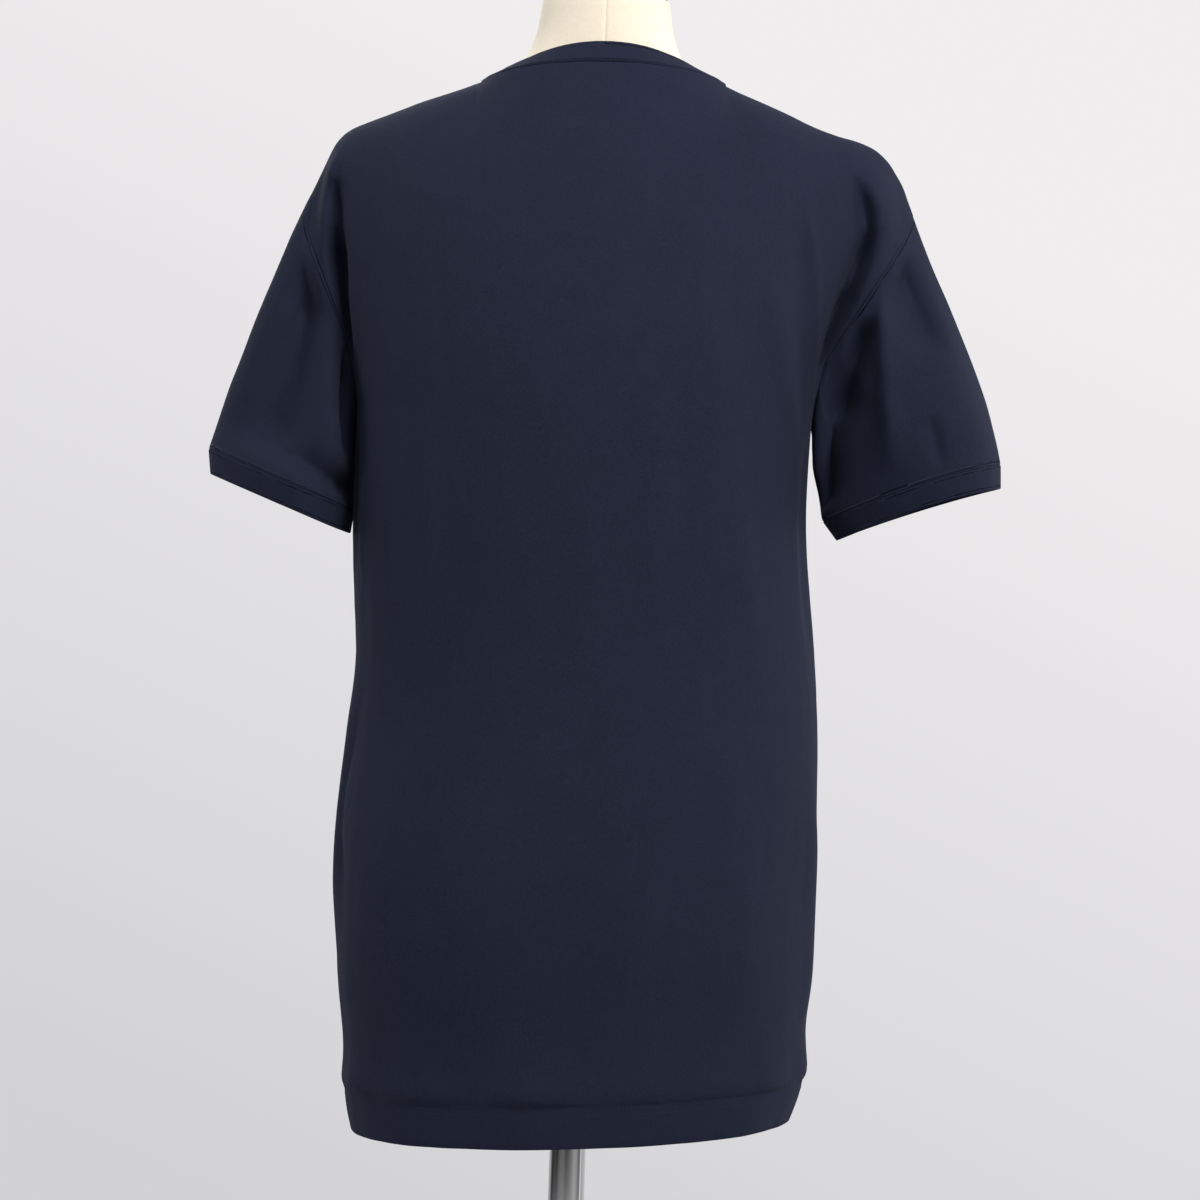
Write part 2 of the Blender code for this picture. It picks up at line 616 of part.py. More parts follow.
def loft(name, rings, finish, crease=35):
    """A closed solid through rings of points, low to high."""
    count = len(rings[0])
    faces = [tuple(range(count)), tuple(range((len(rings) - 1) * count, len(rings) * count))]
    for i in range(len(rings) - 1):
        for j in range(count):
            k = (j + 1) % count
            faces.append((i * count + j, i * count + k, (i + 1) * count + k, (i + 1) * count + j))
    return make(name, np.concatenate(rings), faces, finish, crease)


def turned(name, profile, sides, finish):
    """A solid turned about the pole's axis from (radius, z) pairs, low to high."""
    turn = np.arange(sides) * 2 * math.pi / sides
    rings = [np.stack([r * np.cos(turn), r * np.sin(turn), z + 0 * turn], axis=1) for r, z in profile]
    return loft(name, rings, finish)


def form_ring(row):
    """The dress form's section in a row of its table."""
    half, front, back, square, z = (FORM[k][row] for k in ("half", "front", "back", "square", "z"))
    turn = np.arange(FORM_SIDES) * 2 * math.pi / FORM_SIDES
    x = half * power(np.cos(turn), square)
    y = np.where(np.sin(turn) > 0, back, front) * power(np.sin(turn), square)
    return np.stack([x, y, z + 0 * x], axis=1)


def make_form():
    """The padded torso in its fabric cover, and the cap that closes its neck."""
    rings = [form_ring(row) for row in range(len(FORM["z"]))]
    torso = loft("form_torso", rings, "form_cover", crease=50)
    flat = rings[-1] * (1, 1, 0)
    cap_z = FORM["z"][-1] + PIECE_GAP
    cap = [flat * share + (0, 0, cap_z + rise) for share, rise in zip(*NECK_CAP.values())]
    loft("form_neck_cap", cap, "base_metal")
    return torso


def make_stand():
    """The pole with the flange that carries the torso, and the round base with its hub."""
    flange_top = FORM["z"][0] - PIECE_GAP
    flange_low = flange_top - FLANGE_THICK
    neck = [(POLE_R + wider, flange_low - below) for wider, below in zip(*FLANGE_NECK.values())]
    pole = [(POLE_R, BASE["z"][-1] + PIECE_GAP), *neck, (FLANGE_R, flange_low), (FLANGE_R, flange_top)]
    turned("stand_pole", pole, POLE_SIDES, "chrome")
    turned("stand_base", zip(*BASE.values()), BASE_SIDES, "base_metal")


def panel_normals(grids):
    """The normals of back and front, shared along their side and shoulder seams."""
    back, front = grids["shirt_back"], grids["shirt_front"]
    return share_normals(grids, {"shirt_back": grid_normals(back), "shirt_front": grid_normals(front, -1)})


def make_shirt(tree):
    """Works out the outer grid of every piece, then gives each its wall."""
    grids = {"shirt_back": panel_grid(1), "shirt_front": panel_grid(-1)}
    for name, normal in panel_normals(grids).items():
        clear_of(tree, grids[name], normal)
    normals = panel_normals(grids)
    back, front = grids["shirt_back"], grids["shirt_front"]
    for which, sleeve in SLEEVES.items():
        hole = armhole(back, front, sleeve["side"])
        turns = turns_along(hole)
        grids["sleeve_" + which] = sleeve_grid(hole, sleeve, SLEEVE_FOLDS[which], turns)
        grids["cuff_" + which] = cuff_grid(grids["sleeve_" + which][-1], sleeve, turns)
        for name in ("sleeve_" + which, "cuff_" + which):
            normals[name] = grid_normals(grids[name], -sleeve["side"], around=True)
    band = grids["neckband"] = neckband_grid(back, front)
    normals["neckband"] = grid_normals(band, -1, around=True)
    clear_of(tree, band[1:], normals["neckband"][1:], DOUBLED)
    normals = share_normals(grids, normals, folded_back=0.8)
    for name, grid in grids.items():
        panel, sleeve = name.startswith("shirt"), name.startswith("sleeve")
        cut = inset(grid, normals[name], not panel, panel or sleeve, sides=panel)
        if sleeve:
            side = SLEEVES[name.removeprefix("sleeve_")]["side"]
            body = armhole(normals["shirt_back"], normals["shirt_front"], side)
            facing = (1 - (body * normals[name][0]).sum(axis=1, keepdims=True)) / 2
            cut[0] += body * facing * SEAM_GAP
        thick = np.full((len(grid), 1, 1), CLOTH if panel or sleeve else DOUBLED)
        if panel:
            thick[:2] = DOUBLED
        make(name, *wall(cut, cut - normals[name] * thick, around=not panel), "jersey")


def main():
    for old in list(bpy.data.objects):
        bpy.data.objects.remove(old)
    torso = make_form()
    make_stand()
    bpy.context.view_layer.update()
    make_shirt(BVHTree.FromObject(torso, bpy.context.evaluated_depsgraph_get()))


main()
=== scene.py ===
"""The looks of a v-neck T-shirt worn by a limbless dress form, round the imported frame.

Units are metres, +Z is up, the shirt's front faces -Y and the wearer's left is +X. Each piece of the
shirt is a thin shell on the form of its solid: the same driving sizes and tables of sections, read
more finely, with the smaller folds, the sunk seams and the rolled edges added.
"""

import itertools
import math

import bmesh
import bpy
import numpy as np
from mathutils import Matrix, Vector, noise
from mathutils.bvhtree import BVHTree


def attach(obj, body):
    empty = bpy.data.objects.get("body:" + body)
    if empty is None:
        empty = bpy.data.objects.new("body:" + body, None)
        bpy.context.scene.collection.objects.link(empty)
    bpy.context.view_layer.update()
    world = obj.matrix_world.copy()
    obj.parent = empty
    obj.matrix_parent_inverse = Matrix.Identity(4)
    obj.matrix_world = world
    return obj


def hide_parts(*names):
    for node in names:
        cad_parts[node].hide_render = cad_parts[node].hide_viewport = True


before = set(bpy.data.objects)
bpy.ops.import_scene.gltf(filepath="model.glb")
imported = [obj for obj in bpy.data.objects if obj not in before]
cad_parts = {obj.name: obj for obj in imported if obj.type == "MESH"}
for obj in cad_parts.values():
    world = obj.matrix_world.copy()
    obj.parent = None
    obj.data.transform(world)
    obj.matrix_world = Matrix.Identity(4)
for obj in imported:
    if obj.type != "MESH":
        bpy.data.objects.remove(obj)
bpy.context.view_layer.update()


def table(columns, rows):
    """The rows as one array for each named column."""
    return dict(zip(columns.split(), np.array(rows, float).T))


# ---- sizes of the shirt, as its solids have them -----------------------------------------------

CLOTH = 0.0009  # the jersey
DOUBLED = 0.0017  # the hem, the cuffs and the neckband, which are folded double
FORM_CLEARANCE = 0.003  # between the cloth's inner side and the dress form

HEM_Z = 0.3203
HEM_TILT = 0.056  # the hem hangs lower on the wearer's left, in metres per metre of X
HEM_TILT_REACH = 0.12
HEM_FOLD = 0.028  # from the hem's edge to its stitches
UNDERARM_Z = 0.805
SIDE_SEAM_Y = -0.006
QUARTER_GIRTH = 0.245  # round the body from the middle of a panel to its side seam
YOKE_LENGTH = 0.2  # of a panel's columns above the arms

NECK_X = 0.0842
NECK_DROP = 0.0016  # how much lower the wearer's left side of the neckline lies than its middle
NECK_SIDE = (-0.004, 1.0363)  # y and z where the shoulder seam meets the neckline
NECK_BACK = (0.062, 1.0412)
NECK_FRONT = (-0.052, 1.012)
V_X, V_Z = 0.0036, 0.8905  # the V's point, on the front's middle column
NECK_COLUMN = 0.36  # the panel column, from 0 at its middle to 1 at its edge, at the neckline's side
YOKE_BLEND = 0.16  # how much of the columns a corner of the upper edge blends into, far below it
BLEND_STEPS = (-1, -0.6, -0.2, 0.2, 0.6, 1)
BAND_WIDTH = 0.0165
BAND_MITRE = 0.125
BAND_STEP = 0.01
HALVINGS = 30  # that find where the V cuts a column
BAND_LEAN = table("turn x y z", [
    (-1, -0.91, 0.15, 0.38),
    (-0.5, -0.92, 0.1, 0.37),
    (0, -0.93, -0.12, 0.32),
    (0.5, -0.62, -0.55, 0.56),
    (1, 0, -0.5, 0.86),
    (1.5, 0.62, -0.55, 0.56),
    (2, 0.93, -0.12, 0.32),
])

BODY = table("z left right front back square", [
    (0.32, 0.1505, 0.1522, 0.1275, 0.1085, 2.2),
    (0.342, 0.1548, 0.159, 0.132, 0.113, 2.2),
    (0.37, 0.1562, 0.1604, 0.135, 0.117, 2.25),
    (0.41, 0.1618, 0.1612, 0.137, 0.123, 2.3),
    (0.46, 0.1637, 0.163, 0.139, 0.13, 2.3),
    (0.515, 0.164, 0.1634, 0.139, 0.13, 2.3),
    (0.57, 0.1592, 0.163, 0.139, 0.126, 2.3),
    (0.615, 0.1566, 0.1612, 0.14, 0.122, 2.3),
    (0.665, 0.1592, 0.1568, 0.142, 0.12, 2.3),
    (0.725, 0.1624, 0.1503, 0.143, 0.121, 2.3),
    (0.805, 0.1625, 0.1512, 0.141, 0.123, 2.25),
])
SHOULDER = table("run left left_z right right_z y", [
    (0, NECK_X, NECK_SIDE[1] - NECK_DROP, NECK_X, NECK_SIDE[1] + NECK_DROP, NECK_SIDE[0]),
    (0.28, 0.127, 1.0188, 0.129, 1.0192, -0.005),
    (0.54, 0.161, 1.005, 0.164, 1.0058, -0.006),
    (0.68, 0.1795, 0.9945, 0.185, 0.9998, -0.006),
    (0.8, 0.189, 0.978, 0.2005, 0.9868, -0.006),
    (1, 0.2045, 0.944, 0.217, 0.9525, -0.006),
])
BACK_YOKE = table("column rise out pull_y pull_z", [
    (0, 0.5, 0, 0.034, -0.066),
    (0.18, 0.5, 0.001, 0.046, -0.056),
    (0.36, 0.5, 0.005, 0.08, -0.022),
    (0.6, 0.5, 0.008, 0.082, -0.008),
    (0.8, 0.46, 0.014, 0.066, -0.01),
    (1, 0.36, 0.046, 0.046, -0.018),
])
FRONT_YOKE = table("column rise out pull_y pull_z", [
    (0, 0.32, 0, 0.026, -0.062),
    (0.18, 0.36, 0, 0.036, -0.05),
    (0.36, 0.46, 0, 0.058, -0.016),
    (0.6, 0.5, 0.002, 0.064, -0.007),
    (0.8, 0.46, 0.012, 0.058, -0.01),
    (1, 0.36, 0.046, 0.046, -0.018),
])
SLEEVES = {
    "left": {"side": 1, "seam": (0.2142, 0.756), "end": (0.2143, 0.74), "slope": 21,
             "seam_half": 0.0543, "end_half": 0.0523, "depth": 0.064, "bow": 0.004,
             "swell": 0.005, "flare": 0.0048, "arch": 0, "lean": 0, "skew": 0.4},
    "right": {"side": -1, "seam": (0.2225, 0.761), "end": (0.2276, 0.747), "slope": 19.5,
              "seam_half": 0.064, "end_half": 0.0592, "depth": 0.062, "bow": 0,
              "swell": 0.01, "flare": -0.0015, "arch": 0.004, "lean": 0.4, "skew": -0.4},
}
SLEEVE_Y = -0.01
CUFF_LENGTH = 0.018
CUFF_END_DEPTH = 0.95
ARCH_BACK = 0.25  # how much more of its arch a cuff has behind than in front
UNDERARM_POWER = 6

FORM = table("z half front back square", [
    (0.352, 0.14, 0.096, 0.096, 2.2),
    (0.395, 0.147, 0.101, 0.106, 2.2),
    (0.455, 0.152, 0.104, 0.118, 2.2),
    (0.515, 0.148, 0.103, 0.115, 2.2),
    (0.575, 0.132, 0.097, 0.094, 2.2),
    (0.64, 0.116, 0.09, 0.08, 2.2),
    (0.69, 0.116, 0.096, 0.08, 2.2),
    (0.74, 0.126, 0.114, 0.09, 2.2),
    (0.79, 0.137, 0.131, 0.102, 2.2),
    (0.835, 0.137, 0.126, 0.11, 2.2),
    (0.88, 0.138, 0.105, 0.109, 2.1),
    (0.92, 0.143, 0.084, 0.102, 2),
    (0.95, 0.151, 0.068, 0.091, 2),
    (0.973, 0.159, 0.057, 0.079, 2),
    (0.987, 0.159, 0.052, 0.069, 2),
    (1, 0.146, 0.0475, 0.06, 2),
    (1.012, 0.121, 0.043, 0.053, 2),
    (1.022, 0.098, 0.0405, 0.0475, 2),
    (1.031, 0.076, 0.0385, 0.044, 2),
    (1.041, 0.062, 0.0385, 0.043, 2),
    (1.053, 0.053, 0.0395, 0.0435, 2),
    (1.068, 0.047, 0.0395, 0.0425, 2),
    (1.086, 0.0447, 0.0395, 0.042, 2),
    (1.092, 0.0435, 0.0385, 0.041, 2),
])
PIECE_GAP = 0.0004
NECK_CAP = ((0.94, 0), (0.97, 0.002), (0.97, 0.007), (0.9, 0.01), (0.55, 0.012))  # share and rise
POLE_R = 0.0125
FLANGE_R = 0.034
FLANGE_THICK = 0.004
FLANGE_NECK = ((0, 0.012), (0.004, 0.006))  # how much wider than the pole, and how far below
BASE = (  # radius and z
    (0.15, 0), (0.15, 0.005), (0.148, 0.007), (0.034, 0.008), (0.025, 0.011), (0.022, 0.016),
    (0.021, 0.026),
)

# ---- folds -------------------------------------------------------------------------------------

# A fold follows a curve from one place on its piece by a second to a third, and rises (or sinks,
# where high is below 0) off the cloth. It is wide metres to each side of the curve, round where keen
# is 2 and sharp where it is 1, and lean makes it wider on the side where columns grow and steeper on
# the other. On a panel, columns run from -1 to 1, the wearer's left being 1. On a sleeve they run
# once round from the arm's inner side by the back, and z is the share of the way from the armhole to
# the cuff.
FOLDS = {  # name: rows of c1, z1, c2, z2, c3, z3, wide, high, keen, lean
    "shirt_back": (
        # the right armhole: the deep crease, the sharp ridge beyond it and the facet outside that
        (-0.765, 0.973, -0.91, 0.922, -0.93, 0.85, 0.0055, -0.0105, 1.3, 0.5),
        (-0.905, 0.94, -0.93, 0.888, -0.95, 0.826, 0.009, -0.013, 1.6, 0.3),
        (-0.795, 0.977, -0.94, 0.925, -0.965, 0.855, 0.008, 0.005, 1.6, -0.5),
        (-0.9, 0.9, -0.96, 0.865, -1, 0.83, 0.011, -0.009, 2, 0),
        (-0.85, 0.995, -0.95, 0.962, -0.998, 0.93, 0.008, -0.004, 2, 0),
        # the body's edge beside the crease, and the soft ridge inside it
        (-0.62, 0.95, -0.742, 0.897, -0.845, 0.84, 0.0045, 0.002, 1.4, 0),
        (-0.6, 0.94, -0.68, 0.88, -0.76, 0.82, 0.009, -0.0024, 2, 0),
        (-0.525, 0.895, -0.6, 0.85, -0.72, 0.78, 0.012, 0.0032, 2, 0),
        (-0.86, 0.8, -0.84, 0.73, -0.82, 0.64, 0.012, -0.0025, 2, 0),
        # the left armhole: the sharp ridge, the facet outside it and the valley inside it
        (0.8, 0.98, 0.897, 0.944, 0.978, 0.9, 0.005, 0.0068, 1.3, 0.4),
        (0.86, 0.988, 0.945, 0.95, 0.998, 0.912, 0.0065, -0.005, 2, 0),
        (0.835, 0.962, 0.885, 0.925, 0.93, 0.88, 0.0095, -0.011, 1.7, 0),
        (0.885, 0.93, 0.93, 0.885, 0.975, 0.835, 0.008, -0.018, 1.6, 0),
        (0.745, 0.765, 0.755, 0.725, 0.765, 0.685, 0.004, 0.0016, 1.3, 0),
        (0.9, 0.8, 0.88, 0.74, 0.87, 0.69, 0.01, -0.003, 2, 0),
        # faint long folds down the back
        (0.45, 0.89, 0.405, 0.77, 0.4, 0.62, 0.013, 0.002, 1.6, 0.3),
        (0.52, 0.87, 0.48, 0.76, 0.47, 0.65, 0.014, -0.0016, 2, 0),
        (-0.03, 0.82, -0.012, 0.705, -0.03, 0.58, 0.015, 0.0018, 1.6, 0),
        (-0.16, 0.84, -0.168, 0.735, -0.15, 0.64, 0.012, 0.0016, 1.6, 0),
        (-0.27, 0.89, -0.4, 0.77, -0.5, 0.64, 0.02, 0.003, 1.8, 0.2),
        (-0.35, 0.6, -0.42, 0.5, -0.44, 0.4, 0.022, 0.0026, 2, 0),
        (0.2, 0.56, 0.26, 0.47, 0.28, 0.38, 0.024, 0.0026, 2, 0),
        (-0.05, 0.5, 0.02, 0.43, 0.04, 0.35, 0.022, -0.0022, 2, 0),
        # the sides below the arms
        (0.78, 0.61, 0.865, 0.53, 0.78, 0.478, 0.007, -0.003, 1.4, 0),
        (0.88, 0.64, 0.905, 0.535, 0.93, 0.43, 0.018, 0.004, 2, 0),
        (-0.8, 0.56, -0.85, 0.47, -0.86, 0.39, 0.016, 0.0035, 2, 0),
    ),
    "shirt_front": (
        (-0.8, 0.972, -0.9, 0.905, -0.94, 0.83, 0.01, -0.012, 1.5, -0.2),
        (-0.83, 0.978, -0.94, 0.935, -0.993, 0.895, 0.008, 0.0045, 1.5, 0),
        (-0.66, 0.95, -0.78, 0.87, -0.86, 0.77, 0.01, 0.0045, 1.5, 0.2),
        (-0.56, 0.93, -0.64, 0.85, -0.7, 0.76, 0.013, -0.003, 2, 0),
        (0.8, 0.97, 0.905, 0.91, 0.945, 0.835, 0.0095, -0.012, 1.6, 0.2),
        (0.84, 0.975, 0.94, 0.938, 0.992, 0.9, 0.006, 0.005, 1.3, 0),
        (0.62, 0.945, 0.76, 0.86, 0.83, 0.75, 0.011, 0.0042, 1.6, -0.2),
        (0.34, 0.93, 0.25, 0.87, 0.2, 0.8, 0.014, 0.003, 2, 0),
        (-0.3, 0.94, -0.23, 0.88, -0.12, 0.82, 0.012, 0.0028, 1.8, 0),
        (0.4, 0.79, 0.46, 0.585, 0.5, 0.38, 0.03, 0.006, 2, 0),
        (-0.42, 0.78, -0.37, 0.58, -0.34, 0.38, 0.028, 0.0055, 2, 0),
        (0.05, 0.8, 0.02, 0.61, 0.02, 0.42, 0.026, -0.004, 2, 0),
        (-0.68, 0.7, -0.7, 0.58, -0.66, 0.45, 0.016, 0.0035, 1.7, 0.2),
        (0.74, 0.69, 0.72, 0.56, 0.76, 0.43, 0.018, 0.0038, 1.8, 0),
        (0.22, 0.64, 0.26, 0.52, 0.24, 0.4, 0.018, -0.0025, 2, 0),
        (-0.86, 0.62, -0.88, 0.52, -0.86, 0.4, 0.014, 0.0035, 2, 0),
    ),
    "sleeve_left": (
        (0.15, 0, 0.12, 0.16, 0.08, 0.6, 0.009, -0.015, 1.7, 0),
        (0.24, 0.05, 0.2, 0.32, 0.15, 0.74, 0.013, 0.003, 1.8, 0),
        (0.35, 0, 0.314, 0.48, 0.305, 1, 0.028, -0.021, 2, -0.1),
        (0.15, 0.45, 0.14, 0.68, 0.13, 0.9, 0.013, 0.0045, 2, 0),
        (0.42, 0.1, 0.39, 0.5, 0.4, 0.9, 0.02, 0.0035, 2, 0),
        (0.25, 0.92, 0.12, 0.86, 0.02, 0.9, 0.014, -0.009, 2, 0),
        (0.254, 0.83, 0.248, 0.9, 0.24, 0.98, 0.0028, -0.0026, 1.4, 0),
        (0.312, 0.93, 0.3, 0.955, 0.285, 0.97, 0.0025, -0.0016, 1.5, 0),
        (0.6, 0.05, 0.64, 0.48, 0.68, 0.9, 0.02, 0.004, 1.8, 0.2),
        (0.74, 0.02, 0.77, 0.4, 0.76, 0.85, 0.015, -0.0055, 1.8, 0),
        (0.86, 0.05, 0.85, 0.4, 0.87, 0.85, 0.013, 0.0045, 1.7, 0),
        (0.7, 0.82, 0.705, 0.9, 0.715, 0.98, 0.0035, -0.0018, 1.5, 0),
    ),
    "sleeve_right": (
        (0.15, 0, 0.12, 0.1, 0.095, 0.3, 0.006, 0.0025, 1.5, 0),
        (0.252, 0.02, 0.195, 0.17, 0.11, 0.36, 0.009, -0.0135, 1.7, 0.3),
        (0.185, 0.16, 0.074, 0.45, 0.024, 0.97, 0.023, -0.014, 1.9, 0.3),
        (0.323, 0, 0.263, 0.34, 0.215, 0.92, 0.009, 0.007, 1.5, 0),
        (0.38, 0, 0.38, 0.2, 0.365, 0.5, 0.018, -0.012, 2, -0.3),
        (0.301, 0.68, 0.296, 0.84, 0.286, 0.98, 0.0042, -0.0036, 1.5, 0),
        (0.4, 0.45, 0.38, 0.68, 0.37, 0.92, 0.016, 0.0025, 2, 0),
        (0.6, 0.05, 0.64, 0.48, 0.66, 0.9, 0.018, 0.0042, 1.7, 0),
        (0.72, 0.02, 0.76, 0.4, 0.8, 0.8, 0.015, -0.008, 1.8, 0),
        (0.85, 0.04, 0.86, 0.3, 0.88, 0.7, 0.012, 0.0045, 1.6, 0),
        (0.69, 0.8, 0.695, 0.88, 0.7, 0.97, 0.0038, -0.0022, 1.5, 0),
    ),
}
FOLD_END_FADE = 3  # times that a fold's fade at each end fits into its length
FOLD_END = 0.2  # how far into that fade a fold begins and ends
FOLD_STEPS = 24  # straight steps that a fold's curve is read in
FOLD_ROUND = 0.0012  # rounds a fold's crest
FOLD_LEVEL = 2.5  # above 0, folds beside the armholes sink and rise more level, along Y
LEVEL_FROM, LEVEL_OVER, LEVEL_RISE = 0.45, 0.3, 4  # where they do, by column and by height
PANEL_SIDE_FADE = 12
PANEL_TOP_FADE = 5
ARMHOLE_FADE = 5
SLEEVE_HOLE_FADE = 7
SLEEVE_CUFF_FADE = 6

# ---- fine detail -------------------------------------------------------------------------------

SEAM_GAP = 0.00012
CLEAR_SPREAD = 60  # passes that spread a move off the dress form to the cloth around it
CLEAR_FACING = 0.5  # the least that the cloth counts as facing the way that the form does
SEAM_ROWS = np.array([0.0003, 0.0007, 0.0012, 0.0020])  # places near a seam, in metres from it
SEAM_REACH = 0.0009  # how far from a seam the cloth starts to sink into it
SEAM_DEPTHS = {"side": 0.0004, "shoulder": 0.0003, "neck": 0.0017, "armhole": 0.00015, "cuff": 0.0003}
SEAM_SEEDS = {"top": 1.5, "right": 2.5, "left": 3.5, "armhole": 5.5, "cuff": 6.5, "band": 6.5}
SEAM_UNEVEN = 0.5  # how much that sinking varies along the seam
FOLDED_BACK = 0.8  # a mean normal no longer than this is that of pieces folded back on each other
PUCKER_HEIGHT = 0.00032  # of the small waves that a seam draws the cloth into
PUCKER_LENGTH = 0.011  # along the seam
PUCKER_REACH = 0.010  # away from it
DRAPE_HEIGHT = 0.0009  # of the slow waves all over the cloth
DRAPE = ((2.6, 3.2, 1, 0), (7, 6, 0.45, 9))  # waves across and down, their share and seed
DRAPE_PANEL, DRAPE_SLEEVE = (2, 3), (3, 0.9)  # how often they repeat across and down each
RIM_STEPS = 3  # rows of points round a folded edge
CUFF_PROUD = 0.0002  # how far the doubled cuff and band stand off the single cloth
HEM_ROLL = 0.0020  # how far the cloth swells above the hem's stitches
HEM_ROLL_WIDE = 0.008
HEM_ROLL_UNEVEN, HEM_ROLL_WAVES = 1.2, 6

STITCH_PITCH = 0.0027
STITCH_LONG = 0.0020
STITCH_R = 0.00024
STITCH_ROWS = (0.0, 0.0056)  # the twin needles' rows, below HEM_FOLD
STITCH_SIDES = 6
STITCH_RINGS = (-1, -0.7, 0, 0.7, 1)  # along half its length
STITCH_END = 0.08  # least square of a ring's radius, in those of the stitch

# Heights of a panel's rows, from the hem's stitches, and where its evenly spaced rows begin.
HEM_ROWS = (-HEM_FOLD, -0.024, -0.018, -0.012, -0.0085, -0.0066, -0.0056, -0.0046, -0.0028,
            -0.001, 0, 0.001, 0.0024, 0.0042)
HEM_ROWS_END = 0.0065
NECK_COLUMNS = 22
SHOULDER_COLUMNS = 78
COLUMN_CROWDING = 1.25  # above 1, columns lie closer together towards the armholes
COLUMN_STOP = 0.04  # leaves the panel's edge to the columns at its seam
BODY_ROWS = 88
YOKE_ROWS = 88
SLEEVE_ROWS = 72
CUFF_ROWS = 14
BAND_ROWS = 12

COLUMNS = np.concatenate([
    np.linspace(0, NECK_COLUMN, NECK_COLUMNS + 1),
    1 - (1 - NECK_COLUMN) * np.linspace(1, COLUMN_STOP, SHOULDER_COLUMNS)[1:] ** COLUMN_CROWDING,
    1 - SEAM_ROWS[::-1] / QUARTER_GIRTH, [1],
])
COLUMNS = np.concatenate([-COLUMNS[:0:-1], COLUMNS])  # of a panel, from -1 to 1


# ---- curves ------------------------------------------------------------------------------------

def spline(places, values, where):
    """A natural cubic spline through values at places, read where it is asked."""
    count = len(places)
    step, slope = np.diff(places), np.diff(values) / np.diff(places)
    matrix, right = np.eye(count), np.zeros(count)
    for i in range(1, count - 1):
        matrix[i, i - 1:i + 2] = step[i - 1], 2 * (step[i - 1] + step[i]), step[i]
        right[i] = 6 * (slope[i] - slope[i - 1])
    bend = np.linalg.solve(matrix, right)
    i = np.clip(np.searchsorted(places, where, side="right") - 1, 0, count - 2)
    t, h = where - places[i], step[i]
    linear = slope[i] - h * (2 * bend[i] + bend[i + 1]) / 6
    return values[i] + t * (linear + t * (bend[i] / 2 + t * (bend[i + 1] - bend[i]) / (6 * h)))


def even_spline(places, values, where):
    """The same for what is alike on both sides of 0, so that it is level there."""
    mirrored = np.concatenate([-places[:0:-1], places])
    return spline(mirrored, np.concatenate([values[:0:-1], values]), np.abs(where))


def read(columns, names, where, curve=spline):
    """The named columns of a table, read along its first."""
    places = next(iter(columns.values()))
    return [curve(places, columns[name], where) for name in names.split()]


def cubic(start, first, last, end, t):
    """A point of the cubic curve with these ends and handles."""
    r = 1 - t
    return r ** 3 * start + 3 * r * r * t * first + 3 * r * t * t * last + t ** 3 * end


def power(x, square):
    """A sine or cosine bent so that the ellipse it draws grows squarer than a true one."""
    return np.sign(x) * np.abs(x) ** (2 / square)


def xyz(x, y, z):
    """Points from their coordinates, each an array or one number for all."""
    return np.stack(np.broadcast_arrays(x, y, z), axis=-1)


def unit(v):
    return v / np.linalg.norm(v, axis=-1, keepdims=True)


def smooth_step(t):
    t = np.clip(t, 0, 1)
    return t * t * (3 - 2 * t)


def lengths_along(line):
    """Each point's distance from the line's first, along the line."""
    return np.concatenate([[0], np.cumsum(np.linalg.norm(np.diff(line, axis=0), axis=1))])


# ---- the body's panels -------------------------------------------------------------------------

def section_points(z, column, face):
    """Points of the body's sections. face is 1 on the back panel and -1 on the front."""
    left, right, square, reach = read(BODY, "left right square " + ("back" if face > 0 else "front"), z)
    angle = column * math.pi / 2
    x = (left - right) / 2 + (left + right) / 2 * power(np.sin(angle), square)
    y = SIDE_SEAM_Y + (face * reach - SIDE_SEAM_Y) * power(np.cos(angle), square)
    return xyz(x, y, z)


def neck_base_points(column, face):
    """Points round the base of the neck, over columns of the neck's width."""
    turn = column / NECK_COLUMN * math.pi / 2
    middle = NECK_BACK if face > 0 else NECK_FRONT
    y = NECK_SIDE[0] + (middle[0] - NECK_SIDE[0]) * np.cos(turn)
    z = middle[1] + (NECK_SIDE[1] - middle[1]) * np.sin(turn) ** 2 - NECK_DROP * np.sin(turn)
    return xyz(NECK_X * np.sin(turn), y, z)


def shoulder_points(column):
    """Points of the shoulder seams, over columns between the neckline and the armhole."""
    run = (np.abs(column) - NECK_COLUMN) / (1 - NECK_COLUMN)
    left, left_z, right, right_z, y = read(SHOULDER, "left left_z right right_z y", run)
    x, z = np.where(column > 0, left, -right), np.where(column > 0, left_z, right_z)
    return xyz(x, y, z)


def yoke_top(column, face):
    """Points of a panel's upper edge before the V is cut: the neck's base and both shoulder seams."""
    under_neck = (np.abs(column) <= NECK_COLUMN)[..., None]
    return np.where(under_neck, neck_base_points(column, face), shoulder_points(column))


def yoke_points(column, share, face):
    """Points of whole columns above the arms, from 0 at the underarm's height to 1 at the top. The
    corners of the upper edge round off below it, as each column's top blends with those beside it."""
    yoke = BACK_YOKE if face > 0 else FRONT_YOKE
    rise, out, pull_y, pull_z = read(yoke, "rise out pull_y pull_z", column, even_spline)
    low = section_points(UNDERARM_Z, column, face)
    blend = np.minimum(YOKE_BLEND * (1 - share), 1 - np.abs(column))
    top = np.mean([yoke_top(column + blend * k, face) for k in BLEND_STEPS], axis=0)
    first = low + xyz(0, face * out, rise * (top[..., 2] - low[:, 2]))
    last = top + xyz(0, face * pull_y, pull_z)
    return cubic(low, first, last, top, share[..., None])


